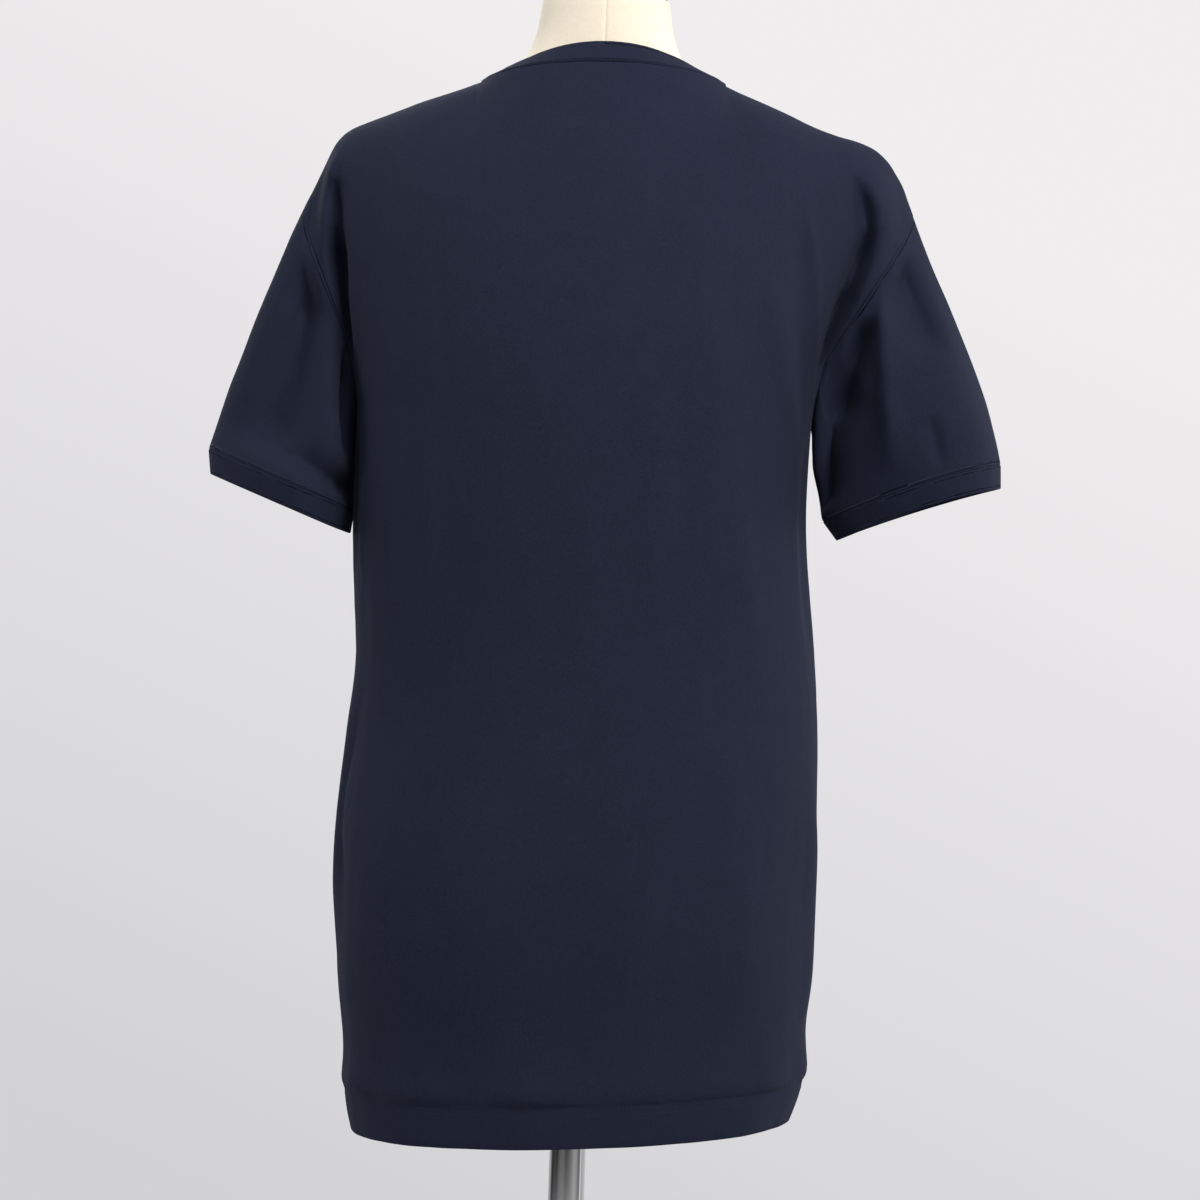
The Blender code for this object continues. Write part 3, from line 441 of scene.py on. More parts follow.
def v_shares(column):
    """How far up the front columns the V cuts them. The V is straight as seen from in front."""
    low, high = 0 * column, 0 * column + 1
    for _ in range(HALVINGS):
        middle = (low + high) / 2
        x, _, z = yoke_points(column, middle, -1).T
        aside = (x - V_X) / (NECK_X - V_X * np.sign(x - V_X))
        below = z < V_Z + (NECK_SIDE[1] - V_Z) * np.abs(aside) - NECK_DROP * aside
        low, high = np.where(below, middle, low), np.where(below, high, middle)
    return high


def neckline_points(column, face):
    """Points of the seam between panel and neckband, over columns of the neck's width."""
    return yoke_points(column, v_shares(column) if face < 0 else 0 * column + 1, face)


def body_heights():
    """Heights of a panel's rows below the arms, close together at the hem's stitches."""
    stitches = HEM_Z + HEM_FOLD
    even = np.linspace(stitches + HEM_ROWS_END, UNDERARM_Z, BODY_ROWS)
    return np.concatenate([stitches + np.array(HEM_ROWS), even])


def yoke_shares():
    """Shares of a column above the arms, close together at its top."""
    near = 1 - SEAM_ROWS[::-1] / YOKE_LENGTH
    return np.concatenate([np.linspace(0, 1, YOKE_ROWS + 1)[1:-1], near, [1]])


def fold_lift(name, column, z, across, down, around=False):
    """How far the folds lift a piece's cloth at each place. across and down are the metres in one
    column and one z, and around says that columns run once round."""
    lift = 0 * z
    for c1, z1, c2, z2, c3, z3, wide, high, keen, lean in FOLDS[name]:
        t = np.linspace(0, 1, FOLD_STEPS + 1)
        weights = np.stack([(1 - t) * (1 - 2 * t), 4 * t * (1 - t), t * (2 * t - 1)])
        path_c, path_z = np.array([(c1, c2, c3), (z1, z2, z3)]) @ weights
        nearest, along, side = np.full(z.shape, 1e9), 0 * z, 0 * z
        for k in range(FOLD_STEPS):
            from_c = column - path_c[k]
            if around:
                from_c = (from_c + 0.5) % 1 - 0.5
            pu, pv = from_c * across, (z - path_z[k]) * down
            su, sv = (path_c[k + 1] - path_c[k]) * across, (path_z[k + 1] - path_z[k]) * down
            share = np.clip((pu * su + pv * sv) / (su * su + sv * sv), 0, 1)
            gap = np.hypot(pu - share * su, pv - share * sv)
            closer = gap < nearest
            nearest = np.where(closer, gap, nearest)
            along = np.where(closer, (k + share) / FOLD_STEPS, along)
            off_line = (pu * sv - pv * su) * np.sign(sv) / (np.hypot(su, sv) * np.maximum(gap, 1e-6))
            side = np.where(closer, np.clip(off_line, -1, 1), side)
        off = np.hypot(nearest, FOLD_ROUND) - FOLD_ROUND
        off /= wide * (1 + lean * side)
        begin, end = (smooth_step(t * FOLD_END_FADE + FOLD_END) for t in (along, 1 - along))
        lift += high * np.exp(-off ** keen) * (begin * end)
    return lift


def drape_waves(column, z, often, seed):
    """Slow uneven waves, longer down the cloth than across it."""
    places = list(zip((column * often[0]).flat, (z * often[1]).flat))
    waves = sum(
        share * np.array([noise.noise((c * across, h * down, seed + more)) for c, h in places])
        for across, down, share, more in DRAPE
    )
    return waves.reshape(z.shape) * DRAPE_HEIGHT


def panel_grid(face):
    """The outer points of a panel, a row for each height, folds and all."""
    heights, shares = body_heights(), yoke_shares()
    tops = np.where(np.abs(COLUMNS) < NECK_COLUMN, v_shares(COLUMNS) if face < 0 else 1, 1)
    low = section_points(*np.meshgrid(heights, COLUMNS, indexing="ij"), face)
    grid = np.concatenate([low, yoke_points(COLUMNS, shares[:, None] * tops, face)])
    tilt = 1 - smooth_step((grid[..., 2] - HEM_Z) / HEM_TILT_REACH)
    grid[..., 2] -= HEM_TILT * grid[..., 0] * tilt
    normals = grid_normals(grid, face)
    column, z = np.broadcast_to(COLUMNS, grid.shape[:2]), grid[..., 2]
    name = "shirt_back" if face > 0 else "shirt_front"
    lift = fold_lift(name, column, z, QUARTER_GIRTH, 1) + drape_waves(column, z, DRAPE_PANEL, face * 5)
    below_top = np.concatenate([np.ones(len(heights)), 1 - shares])[:, None]
    in_yoke = np.concatenate([np.zeros(len(heights)), shares])[:, None]
    sides = smooth_step((1 - np.abs(column)) * PANEL_SIDE_FADE)
    sides = np.maximum(sides, smooth_step(in_yoke * ARMHOLE_FADE))
    free = sides * smooth_step(below_top * PANEL_TOP_FADE)
    above_hem = (z - grid[0, :, 2] - HEM_FOLD) / HEM_ROLL_WIDE
    waves = np.array([noise.noise((c * HEM_ROLL_WAVES, face, 4.0)) for c in COLUMNS])
    uneven = 1 + HEM_ROLL_UNEVEN * waves
    roll = HEM_ROLL * uneven * np.where(above_hem > 0, above_hem * np.exp(1 - above_hem), 0)
    level = smooth_step((np.abs(column) - LEVEL_FROM) / LEVEL_OVER) * smooth_step(in_yoke * LEVEL_RISE)
    ways = unit(normals + np.outer(level, (0, face * FOLD_LEVEL, 0)).reshape(grid.shape))
    return grid + (ways * (lift * free)[..., None] + normals * roll[..., None])


# ---- sleeves, cuffs and neckband ---------------------------------------------------------------

def armhole(back, front, side):
    """The points of an armhole, from the underarm up its back edge and down its front edge."""
    edge = -1 if side > 0 else 0
    underarm = len(body_heights()) - 1
    return np.concatenate([back[underarm:, edge], front[-2:underarm:-1, edge]])


def turns_along(loop):
    """Each point's share of the way round a closed loop."""
    steps = np.linalg.norm(np.roll(loop, -1, axis=0) - loop, axis=1)
    return np.concatenate([[0], np.cumsum(steps)[:-1]]) / steps.sum()


def cuff_ring(sleeve, centre, half, depth, turns):
    """An ellipse that starts at the arm's inner side and runs by the back to the outer side."""
    slope, side = math.radians(sleeve["slope"]), sleeve["side"]
    long_way = np.array([side * math.cos(slope), 0, math.sin(slope)])
    middle = np.array([side * centre[0], SLEEVE_Y, centre[1]])
    angle = turns * 2 * math.pi
    behind = 1 - ARCH_BACK + ARCH_BACK * np.sin(angle)
    arch = np.outer(np.sin(angle) ** 2 * behind, (0, 0, sleeve["arch"]))
    bent = np.sin(angle + sleeve["skew"] * np.sin(angle))
    return middle - np.outer(np.cos(angle), long_way) * half + np.outer(bent, (0, depth, 0)) + arch


def packed_shares(count, length):
    """Even shares from 0 to 1, with more near both ends, for a piece of that length."""
    near = SEAM_ROWS / length
    return np.concatenate([[0], near, np.linspace(0, 1, count + 1)[1:-1], 1 - near[::-1], [1]])


def sleeve_grid(name, hole, sleeve, turns):
    """Points from the armhole, row 0, to the cuff's seam, each column a cubic."""
    angle = turns * 2 * math.pi
    ring = cuff_ring(sleeve, sleeve["seam"], sleeve["seam_half"], sleeve["depth"], turns)
    slope, side = math.radians(sleeve["slope"]), sleeve["side"]
    down = np.array([side * math.sin(slope), 0, -math.cos(slope)])
    reach = np.linalg.norm(ring - hole, axis=1, keepdims=True)
    out = unit(ring - ring.mean(axis=0))
    under = (0.5 + 0.5 * np.cos(angle))[:, None] ** UNDERARM_POWER
    flare = np.array([side, 0, 0]) * under * sleeve["flare"]
    first = hole + (ring - hole) / 3 + out * sleeve["bow"] + flare
    outer = (0.5 - 0.5 * np.cos(angle))[:, None]
    arrive = down + under * (np.array([side * sleeve["lean"], 0, -1]) - down)
    last = ring - arrive * reach / 3 + out * outer * sleeve["swell"]
    share = packed_shares(SLEEVE_ROWS, reach.mean())
    grid = np.array([cubic(hole, first, last, ring, t) for t in share])
    normals = grid_normals(grid, -side, around=True)
    around, along = np.broadcast_arrays(turns, share[:, None])
    girth = np.linalg.norm(np.roll(ring, -1, axis=0) - ring, axis=1).sum()
    lift = fold_lift(name, around, along, girth, reach.mean(), around=True)
    turning = np.abs((around + 0.5) % 1 - 0.5)  # alike where the turn closes on itself
    lift += drape_waves(turning, along, DRAPE_SLEEVE, side * 3)
    free = smooth_step(along * SLEEVE_HOLE_FADE) * smooth_step((1 - along) * SLEEVE_CUFF_FADE)
    ways = unit(normals + np.outer(np.sin(angle), (0, 1, 0)))
    return grid + ways * (lift * free)[..., None]


def cuff_grid(seam, sleeve, turns):
    """Points from the cuff's seam, row 0, to its open end."""
    end = cuff_ring(sleeve, sleeve["end"], sleeve["end_half"], sleeve["depth"] * CUFF_END_DEPTH, turns)
    return np.array([seam * (1 - t) + end * t for t in packed_shares(CUFF_ROWS, CUFF_LENGTH)])


def neckline_run(turn, side):
    """Half the neckline, on the wearer's left for side 1: turn is -1 at the V and 1 at mid back."""
    front = neckline_points(side * np.clip(1 + turn, 0, 1) * NECK_COLUMN, -1)
    back = neckline_points(side * np.clip(1 - turn, 0, 1) * NECK_COLUMN, 1)
    return np.where(turn[:, None] < 0, front, back)


def band_edge(turn, side):
    """The points of the neckband's free edge that belong to places on its seam."""
    above = np.where(turn > 0, turn, turn * (1 - BAND_MITRE))
    ahead, behind = np.minimum(above + BAND_STEP, 1), above - BAND_STEP
    along = unit(neckline_run(ahead, side) - neckline_run(behind, side))
    lean = xyz(*read(BAND_LEAN, "x y z", above)) * (side, 1, 1)
    lean = unit(lean - along * (lean * along).sum(axis=1, keepdims=True))
    return neckline_run(above, side) + lean * BAND_WIDTH


def neckline(back, front):
    """The points where the neckband is sewn on, from the V's point by the wearer's left."""
    middle = len(COLUMNS) // 2
    first, last = middle - NECK_COLUMNS, middle + NECK_COLUMNS
    parts = [front[-1, middle:last + 1], back[-1, first + 1:last][::-1], front[-1, first:middle]]
    return np.concatenate(parts)


def neckband_grid(seam):
    """A strip round the neckline from the V's point by the wearer's left, mitred at the V."""
    turns = np.linspace(-1, 1, 2 * NECK_COLUMNS + 1)
    left, right = band_edge(turns, 1), band_edge(turns[-2::-1], -1)
    left[0] = (left[0] + right[-1]) / 2
    edge = np.concatenate([left, right[:-1]])
    return np.array([seam * (1 - t) + edge * t for t in packed_shares(BAND_ROWS, BAND_WIDTH)])


# ---- grids into shells -------------------------------------------------------------------------

def steps_along(points, axis, around):
    """The way from each point to the next, as a mean over its two neighbours."""
    if around:
        return np.roll(points, -1, axis=axis) - np.roll(points, 1, axis=axis)
    return np.gradient(points, axis=axis)


def grid_normals(grid, face=1, around=False):
    """Unit normals of a grid, which point out. face is 1 where its rows run up and its columns
    clockwise as seen from above, and -1 where one of the two runs the other way."""
    return unit(np.cross(np.gradient(grid, axis=0), steps_along(grid, 1, around))) * face


def share_normals(grids, normals, folded_back=0.0):
    """Gives pieces one normal where they meet, so that their shells meet edge to edge. Pieces that
    fold back on each other there, so that their normals nearly cancel, keep their own."""
    meeting = {}
    for name, grid in grids.items():
        edges = np.zeros(grid.shape[:2], bool)
        edges[[0, -1]] = edges[:, [0, -1]] = True
        for place in zip(*np.nonzero(edges)):
            meeting.setdefault(tuple(np.round(grid[place], 6)), []).append((name, place))
    shared = {name: normal.copy() for name, normal in normals.items()}
    for group in meeting.values():
        mean = np.mean([normals[name][place] for name, place in group], axis=0)
        if np.linalg.norm(mean) > folded_back:
            for name, place in group:
                shared[name][place] = unit(mean)
    return shared


def clear_of(tree, grid, normals, thick=CLOTH):
    """Moves points out so that the shell's inner side stays clear of the dress form, with the cloth
    around them, which bridges from one high place to the next."""
    short = np.zeros(grid.shape[:2])
    for i, j in np.ndindex(short.shape):
        inner = Vector(grid[i, j] - normals[i, j] * thick)
        near, facing, _, _ = tree.find_nearest(inner)
        facing_out = max(facing.dot(Vector(normals[i, j])), CLEAR_FACING)
        short[i, j] = max(FORM_CLEARANCE - (inner - near).dot(facing), 0) / facing_out
    move = short.copy()
    for _ in range(CLEAR_SPREAD):
        around = (move[:-2, 1:-1] + move[2:, 1:-1] + move[1:-1, :-2] + move[1:-1, 2:]) / 4
        move[1:-1, 1:-1] = np.maximum(short[1:-1, 1:-1], around)
    grid += normals * move[..., None]


def moved_in(line, inner, normals, around, gap=SEAM_GAP):
    """A seam's line of points moved in by half the seam's gap, square to itself, along the cloth."""
    across = unit(np.cross(normals, steps_along(line, 0, around)))
    towards = np.sign((across * (inner - line)).sum(axis=1, keepdims=True))
    return line + across * towards * gap / 2


def sink_seam(grid, line, depth, seed):
    """How far the cloth rises near a seam: it sinks into it, and is drawn into small waves."""
    away = np.linalg.norm(grid - line, axis=-1)
    along = lengths_along(line.reshape(-1, 3)) / PUCKER_LENGTH
    waves = np.array([noise.noise((s, seed, 0.5)) for s in along]).reshape(line.shape[:2])
    sink = depth * (1 + SEAM_UNEVEN * waves) * (1 - smooth_step(away / SEAM_REACH))
    return waves * PUCKER_HEIGHT * 2 * np.exp(-away / PUCKER_REACH) - sink


def rolled_edge(outer, inner, beyond):
    """Rows of points round a folded edge, from its outer side to its inner side."""
    middle, half = (outer + inner) / 2, (outer - inner) / 2
    out = unit(beyond) * np.linalg.norm(half, axis=-1, keepdims=True)
    turns = np.linspace(0, math.pi, RIM_STEPS + 2)[1:-1]
    return np.array([middle + half * math.cos(t) + out * math.sin(t) for t in turns])


def shell(outer, inner, folded_first, folded_last, around):
    """A closed shell between two like grids, as points, faces and each row's place in the grid.
    Its rows run up the outer side, over one edge, down the inner side and over the other."""
    none = outer[:0]
    last = rolled_edge(outer[-1], inner[-1], outer[-1] - outer[-2]) if folded_last else none
    first = rolled_edge(inner[0], outer[0], outer[0] - outer[1]) if folded_first else none
    loop = np.concatenate([outer, last, inner[::-1], first])
    rows, columns = loop.shape[:2]
    count = len(outer)
    faces = []
    for i in range(rows):
        for j in range(columns if around else columns - 1):
            k, m = (i + 1) % rows, (j + 1) % columns
            faces.append((i * columns + j, i * columns + m, k * columns + m, k * columns + j))
    if not around:
        back = rows - len(first) - 1  # the loop's row that lies inside the outer side's first
        for j in (0, columns - 1):
            for i in range(count - 1):
                faces.append([r * columns + j for r in (i, i + 1, back - i - 1, back - i)])
            for edge in (range(count - 1, count + len(last) + 1), [*range(back, rows), 0]):
                if len(edge) > 2:
                    faces.append([r * columns + j for r in edge])
    row_of = np.concatenate([
        np.arange(count), np.full(len(last), count - 1), np.arange(count)[::-1], np.zeros(len(first)),
    ]).astype(int)
    return loop.reshape(-1, 3), faces, row_of


# ---- materials ---------------------------------------------------------------------------------

def add(tree, kind, inputs=None, **settings):
    """A node of that kind with its settings, and its inputs as values or linked from sockets."""
    node = tree.nodes.new("ShaderNode" + kind)
    for name, value in settings.items():
        setattr(node, name, value)
    for name, value in (inputs or {}).items():
        if isinstance(value, bpy.types.NodeSocket):
            tree.links.new(value, node.inputs[name])
        else:
            node.inputs[name].default_value = value
    return node


def maths(tree, operation, *values):
    """The result of a Math node on numbers or sockets."""
    return add(tree, "Math", dict(enumerate(values)), operation=operation).outputs[0]


def ranged(tree, value, low, high, **settings):
    """0 where the value is low and 1 where it is high."""
    inputs = {"Value": value, "From Min": low, "From Max": high}
    return add(tree, "MapRange", inputs, **settings).outputs["Result"]


def blank_material(name, **values):
    """A material, its node tree and its Principled shader with these values set on it."""
    made = bpy.data.materials.new(name)
    made.use_nodes = True
    tree = made.node_tree
    shader = tree.nodes["Principled BSDF"]
    for socket, value in values.items():
        shader.inputs[socket.replace("_", " ")].default_value = value
    return made, tree, shader


def ramp(tree, value, colours):
    """The colour that belongs to a value, between pairs of a value and a colour."""
    node = add(tree, "ValToRGB", {0: value})
    stops = node.color_ramp.elements
    for _ in colours[2:]:
        stops.new(0.5)
    for stop, (at, colour) in zip(stops, colours):
        stop.position, stop.color = at, (*colour, 1)
    return node.outputs[0]


def colour_by(tree, shader, value, colours):
    """Colours the shader by a value."""
    tree.links.new(ramp(tree, value, colours), shader.inputs["Base Color"])


def emboss(tree, shader, height, distance, strength):
    """Gives the shader a bump of that height."""
    bump = add(tree, "Bump", {"Height": height, "Distance": distance, "Strength": strength})
    tree.links.new(bump.outputs[0], shader.inputs["Normal"])


def noise_at(tree, place, scale, detail=2.0, rough=0.5):
    """A noise texture's value, from about 0.2 to 0.8."""
    inputs = {"Vector": place, "Scale": scale, "Detail": detail, "Roughness": rough}
    return add(tree, "TexNoise", inputs).outputs["Fac"]


def knit_height(tree, place):
    """The height of a single jersey's face: columns of small Vs. place is in metres."""
    split = add(tree, "SeparateXYZ", {0: place})
    across = maths(tree, "DIVIDE", split.outputs[0], WALE)
    beside = maths(tree, "PINGPONG", across, 0.5)  # 0 at the edge of a wale and 0.5 at its middle
    slanted = maths(tree, "MULTIPLY", beside, WALE_SLANT)
    up = maths(tree, "ADD", maths(tree, "DIVIDE", split.outputs[1], COURSE), slanted)
    loops = maths(tree, "SINE", maths(tree, "MULTIPLY", up, 2 * math.pi))
    wales = maths(tree, "SINE", maths(tree, "MULTIPLY", beside, 2 * math.pi))
    return maths(tree, "ADD", maths(tree, "MULTIPLY", loops, 0.5), wales)


def jersey_material(name="jersey", lighter=1.0):
    """Deep navy single jersey: a fine knit, a faint nap and slightly uneven dye."""
    made, tree, shader = blank_material(
        name, Roughness=0.92, Specular_IOR_Level=0.05, Sheen_Weight=0.045, Sheen_Roughness=0.35,
        Sheen_Tint=(0.55, 0.62, 0.80, 1),
    )
    place = add(tree, "TexCoord")
    body, flat = place.outputs["Object"], place.outputs["UV"]
    slow, quick = (noise_at(tree, body, DYE_SCALES[k], 2.0 + k) for k in (0, 1))
    dye, nap = maths(tree, "ADD", slow, quick), noise_at(tree, body, NAP_SCALE, 3.0, 0.7)
    dye, fluff = maths(tree, "MULTIPLY", dye, DYE_SHARE), maths(tree, "MULTIPLY", nap, NAP_SHARE)
    colours = [(at, [c * lighter for c in colour]) for at, colour in JERSEY_COLOURS]
    colour_by(tree, shader, maths(tree, "ADD", dye, fluff), colours)
    height = maths(tree, "MULTIPLY", knit_height(tree, flat), KNIT_HIGH)
    height = maths(tree, "ADD", height, maths(tree, "MULTIPLY", nap, NAP_HIGH))
    emboss(tree, shader, height, *BUMPS["jersey"])
    return made


def cover_material():
    """The dress form's tight cream cover."""
    made, tree, shader = blank_material(
        "form_cover", Roughness=0.8, Specular_IOR_Level=0.2, Sheen_Weight=0.15, Sheen_Roughness=0.4,
    )
    place = add(tree, "TexCoord").outputs["Object"]
    weave = noise_at(tree, place, WEAVE_SCALE, 2.0, 0.7)
    mottle = maths(tree, "ADD", noise_at(tree, place, MOTTLE_SCALE, 3.0), weave)
    colour_by(tree, shader, maths(tree, "MULTIPLY", mottle, 0.5), COVER_COLOURS)
    threads = maths(tree, "MULTIPLY", noise_at(tree, place, THREAD_SCALE), THREAD_HIGH)
    emboss(tree, shader, threads, *BUMPS["cover"])
    return made


def metal_material(name, colour, roughness, streak, place_scale):
    """A metal whose roughness is uneven, in streaks where place_scale stretches them."""
    made, tree, shader = blank_material(name, Base_Color=(*colour, 1), Metallic=1.0)
    place = add(tree, "TexCoord").outputs["Object"]
    stretched = add(tree, "Mapping", {"Vector": place, "Scale": place_scale}).outputs[0]
    uneven = maths(tree, "MULTIPLY", noise_at(tree, stretched, 1.0, 4.0, 0.6), streak)
    tree.links.new(maths(tree, "ADD", uneven, roughness), shader.inputs["Roughness"])
    emboss(tree, shader, uneven, *BUMPS["metal"])
    return made


WALE = 0.00078  # width of a column of the knit, in metres
COURSE = 0.0006  # height of a row of it
WALE_SLANT = 1.6  # rows that a loop's leg would climb in the width of a wale
BUMPS = {"jersey": (1, 0.55), "cover": (1, 0.5), "metal": (0.0002, 0.3)}  # distance and strength
THREAD_LIGHTER = 1.35
KNIT_HIGH, NAP_HIGH, THREAD_HIGH = 0.00009, 0.00035, 0.0002
DYE_SHARE, NAP_SHARE = 0.16, 0.65  # how much uneven dye and the nap change the jersey's colour
DYE_SCALES, NAP_SCALE = (9, 60), 620  # how often their noise repeats in a metre, as those below
MOTTLE_SCALE, WEAVE_SCALE, THREAD_SCALE = 14, 480, 900  # of the dress form's cover
JERSEY_COLOURS = ((0.25, (0.0138, 0.0165, 0.0310)), (0.60, (0.0200, 0.0235, 0.0440)))
COVER_COLOURS = ((0.30, (0.84, 0.745, 0.59)), (0.70, (0.92, 0.835, 0.685)))
CHROME = ((0.72, 0.72, 0.73), 0.05, 0.05, (60, 60, 6))
STEEL = ((0.58, 0.58, 0.59), 0.22, 0.12, (18, 18, 60))
BRUSHED = ((0.46, 0.46, 0.47), 0.34, 0.14, (4, 300, 60))

MATERIALS = {
    "jersey": jersey_material(),
    "thread": jersey_material("thread", lighter=THREAD_LIGHTER),
    "form_cover": cover_material(),
    "chrome": metal_material("chrome", *CHROME),
    "base_metal": metal_material("base_metal", *BRUSHED),
    "neck_cap": metal_material("neck_cap", *STEEL),
}


# ---- objects -----------------------------------------------------------------------------------

def placed(name, data):
    """A new object of that data, in the scene."""
    made = bpy.data.objects.new(name, data)
    bpy.context.scene.collection.objects.link(made)
    return made


def make(name, points, faces, finish, node=None, uv=None, sharp=None):
    """A piece from points and faces, which rides with the part. Its slot is its finish's. uv gives each
    face's corners."""
    mesh = bpy.data.meshes.new(name)
    mesh.from_pydata(np.asarray(points).tolist(), [], faces)
    if uv is not None:
        layer = mesh.uv_layers.new(name="cloth")
        layer.data.foreach_set("uv", np.concatenate([uv(face) for face in faces]).ravel())
    shape = bmesh.new()
    shape.from_mesh(mesh)
    bmesh.ops.recalc_face_normals(shape, faces=shape.faces)
    shape.to_mesh(mesh)
    shape.free()
    mesh.materials.append(MATERIALS[finish])
    mesh.shade_smooth()
    if sharp:
        mesh.set_sharp_from_angle(angle=math.radians(sharp))
    made = placed(name, mesh)
    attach(made, "root")
    if node:
        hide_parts(node)
    return made


def make_cloth(name, outer, normals, thick, folded, around):
    """A shell of cloth. Its texture runs in metres, across by its columns and up by its rows."""
    inner = outer - normals * thick
    points, faces, row_of = shell(outer, inner, *folded, around)
    columns = outer.shape[1]
    line = outer[len(outer) // 2]
    u = lengths_along(np.concatenate([line, line[:1]]) if around else line)
    v = lengths_along(outer[:, columns // 2])
    place_u, place_v = np.tile(u[:columns], len(row_of)), np.repeat(v[row_of], columns)

    def uv(face):
        across = place_u[list(face)]
        if around and across.max() - across.min() > u[-1] / 2:
            across = np.where(across < u[-1] / 2, across + u[-1], across)
        return np.stack([across, place_v[list(face)]], axis=1)

    return make(name, points, faces, "jersey", name, uv=uv)


def shirt_grids(tree):
    """The outer grid and the normals of every piece of the shirt."""
    grids = {"shirt_back": panel_grid(1), "shirt_front": panel_grid(-1)}
    for _ in range(2):
        own = {"shirt_back": grid_normals(grids["shirt_back"]),
               "shirt_front": grid_normals(grids["shirt_front"], -1)}
        normals = share_normals(grids, own)
        for name, normal in normals.items():
            clear_of(tree, grids[name], normal)
    back, front = grids["shirt_back"], grids["shirt_front"]
    for which, sleeve in SLEEVES.items():
        hole = armhole(back, front, sleeve["side"])
        turns = turns_along(hole)
        name = "sleeve_" + which
        grids[name] = sleeve_grid(name, hole, sleeve, turns)
        grids["cuff_" + which] = cuff_grid(grids[name][-1], sleeve, turns)
        for piece in (name, "cuff_" + which):
            normals[piece] = grid_normals(grids[piece], -sleeve["side"], around=True)
    band = grids["neckband"] = neckband_grid(neckline(back, front))
    normals["neckband"] = grid_normals(band, -1, around=True)
    clear_of(tree, band[1:], normals["neckband"][1:], DOUBLED)
    return grids, share_normals(grids, normals, FOLDED_BACK)


def seam_lift(name, grid):
    """How far each point of a piece rises or sinks because of the seams at its edges."""
    lift = 0 * grid[..., 0]
    if name.startswith("shirt"):
        columns = len(COLUMNS)
        middle = columns // 2
        neck = np.abs(np.arange(columns) - middle) <= NECK_COLUMNS
        depth = np.where(neck, SEAM_DEPTHS["neck"], SEAM_DEPTHS["shoulder"])
        lift += sink_seam(grid, grid[-1:], depth, SEAM_SEEDS["top"])
        for edge, side in ((0, "right"), (-1, "left")):
            lift += sink_seam(grid, grid[:, [edge]], SEAM_DEPTHS["side"], SEAM_SEEDS[side])
    elif name.startswith("sleeve"):
        for edge, seam in ((grid[:1], "armhole"), (grid[-1:], "cuff")):
            lift += sink_seam(grid, edge, SEAM_DEPTHS[seam], SEAM_SEEDS[seam])
    else:
        away = np.linalg.norm(grid - grid[:1], axis=-1)
        depth = SEAM_DEPTHS["neck" if name == "neckband" else "cuff"]
        lift += CUFF_PROUD * smooth_step(away / SEAM_REACH)
        lift += sink_seam(grid, grid[:1], depth, SEAM_SEEDS["band"])
    return lift


def sew(cuts):
    """Gives the pieces the same points along each seam: a sleeve takes them from the panels, a cuff
    from its sleeve, and the front's sides and shoulders from the back."""
    back, front = cuts["shirt_back"], cuts["shirt_front"]
    below_arms = len(body_heights())
    front[:below_arms, [0, -1]] = back[:below_arms, [0, -1]]
    shoulders = np.abs(COLUMNS) > NECK_COLUMN - 1e-9
    front[-1, shoulders] = back[-1, shoulders]
    for which, sleeve in SLEEVES.items():
        cuts["sleeve_" + which][0] = armhole(back, front, sleeve["side"])
        cuts["cuff_" + which][0] = cuts["sleeve_" + which][-1]
    cuts["neckband"][0] = neckline(back, front)


def make_shirt(tree):
    """Every piece of the shirt as a shell of cloth, by name."""
    grids, normals = shirt_grids(tree)
    cuts = {
        name: grid + normals[name] * seam_lift(name, grid)[..., None] for name, grid in grids.items()
    }
    sew(cuts)
    pieces = {}
    for name, cut in cuts.items():
        panel, sleeve = name.startswith("shirt"), name.startswith("sleeve")
        normal = normals[name]
        if not panel:
            cut[0] = moved_in(cut[0], cut[1], normal[0], around=True)
        if panel or sleeve:
            cut[-1] = moved_in(cut[-1], cut[-2], normal[-1], around=sleeve)
        thick = np.full((len(cut), 1, 1), CLOTH if panel or sleeve else DOUBLED)
        if panel:
            hem = np.searchsorted(body_heights(), HEM_Z + HEM_FOLD)
            thick[:hem] = DOUBLED
            gap = np.full((len(cut), 1), SEAM_GAP)
            gap[:hem] = 0  # the hem is sewn shut at its sides
            for edge, inner in ((0, 1), (-1, -2)):
                cut[:, edge] = moved_in(cut[:, edge], cut[:, inner], normal[:, edge], False, gap)
        folded = (panel, not (panel or sleeve))
        pieces[name] = make_cloth(name, cut, normal, thick, folded, not panel)
    return pieces, grids, normals


def stitch_line(line, normals):
    """Places, directions and normals of stitches along a line of points."""
    reach = lengths_along(line)
    at = np.arange(STITCH_PITCH / 2, reach[-1], STITCH_PITCH)

    def along(values, shift=0.0):
        return np.stack([np.interp(at + shift, reach, values[:, k]) for k in range(3)], axis=1)

    ahead, behind = along(line, STITCH_PITCH / 4), along(line, -STITCH_PITCH / 4)
    return along(line), unit(ahead - behind), unit(along(normals))


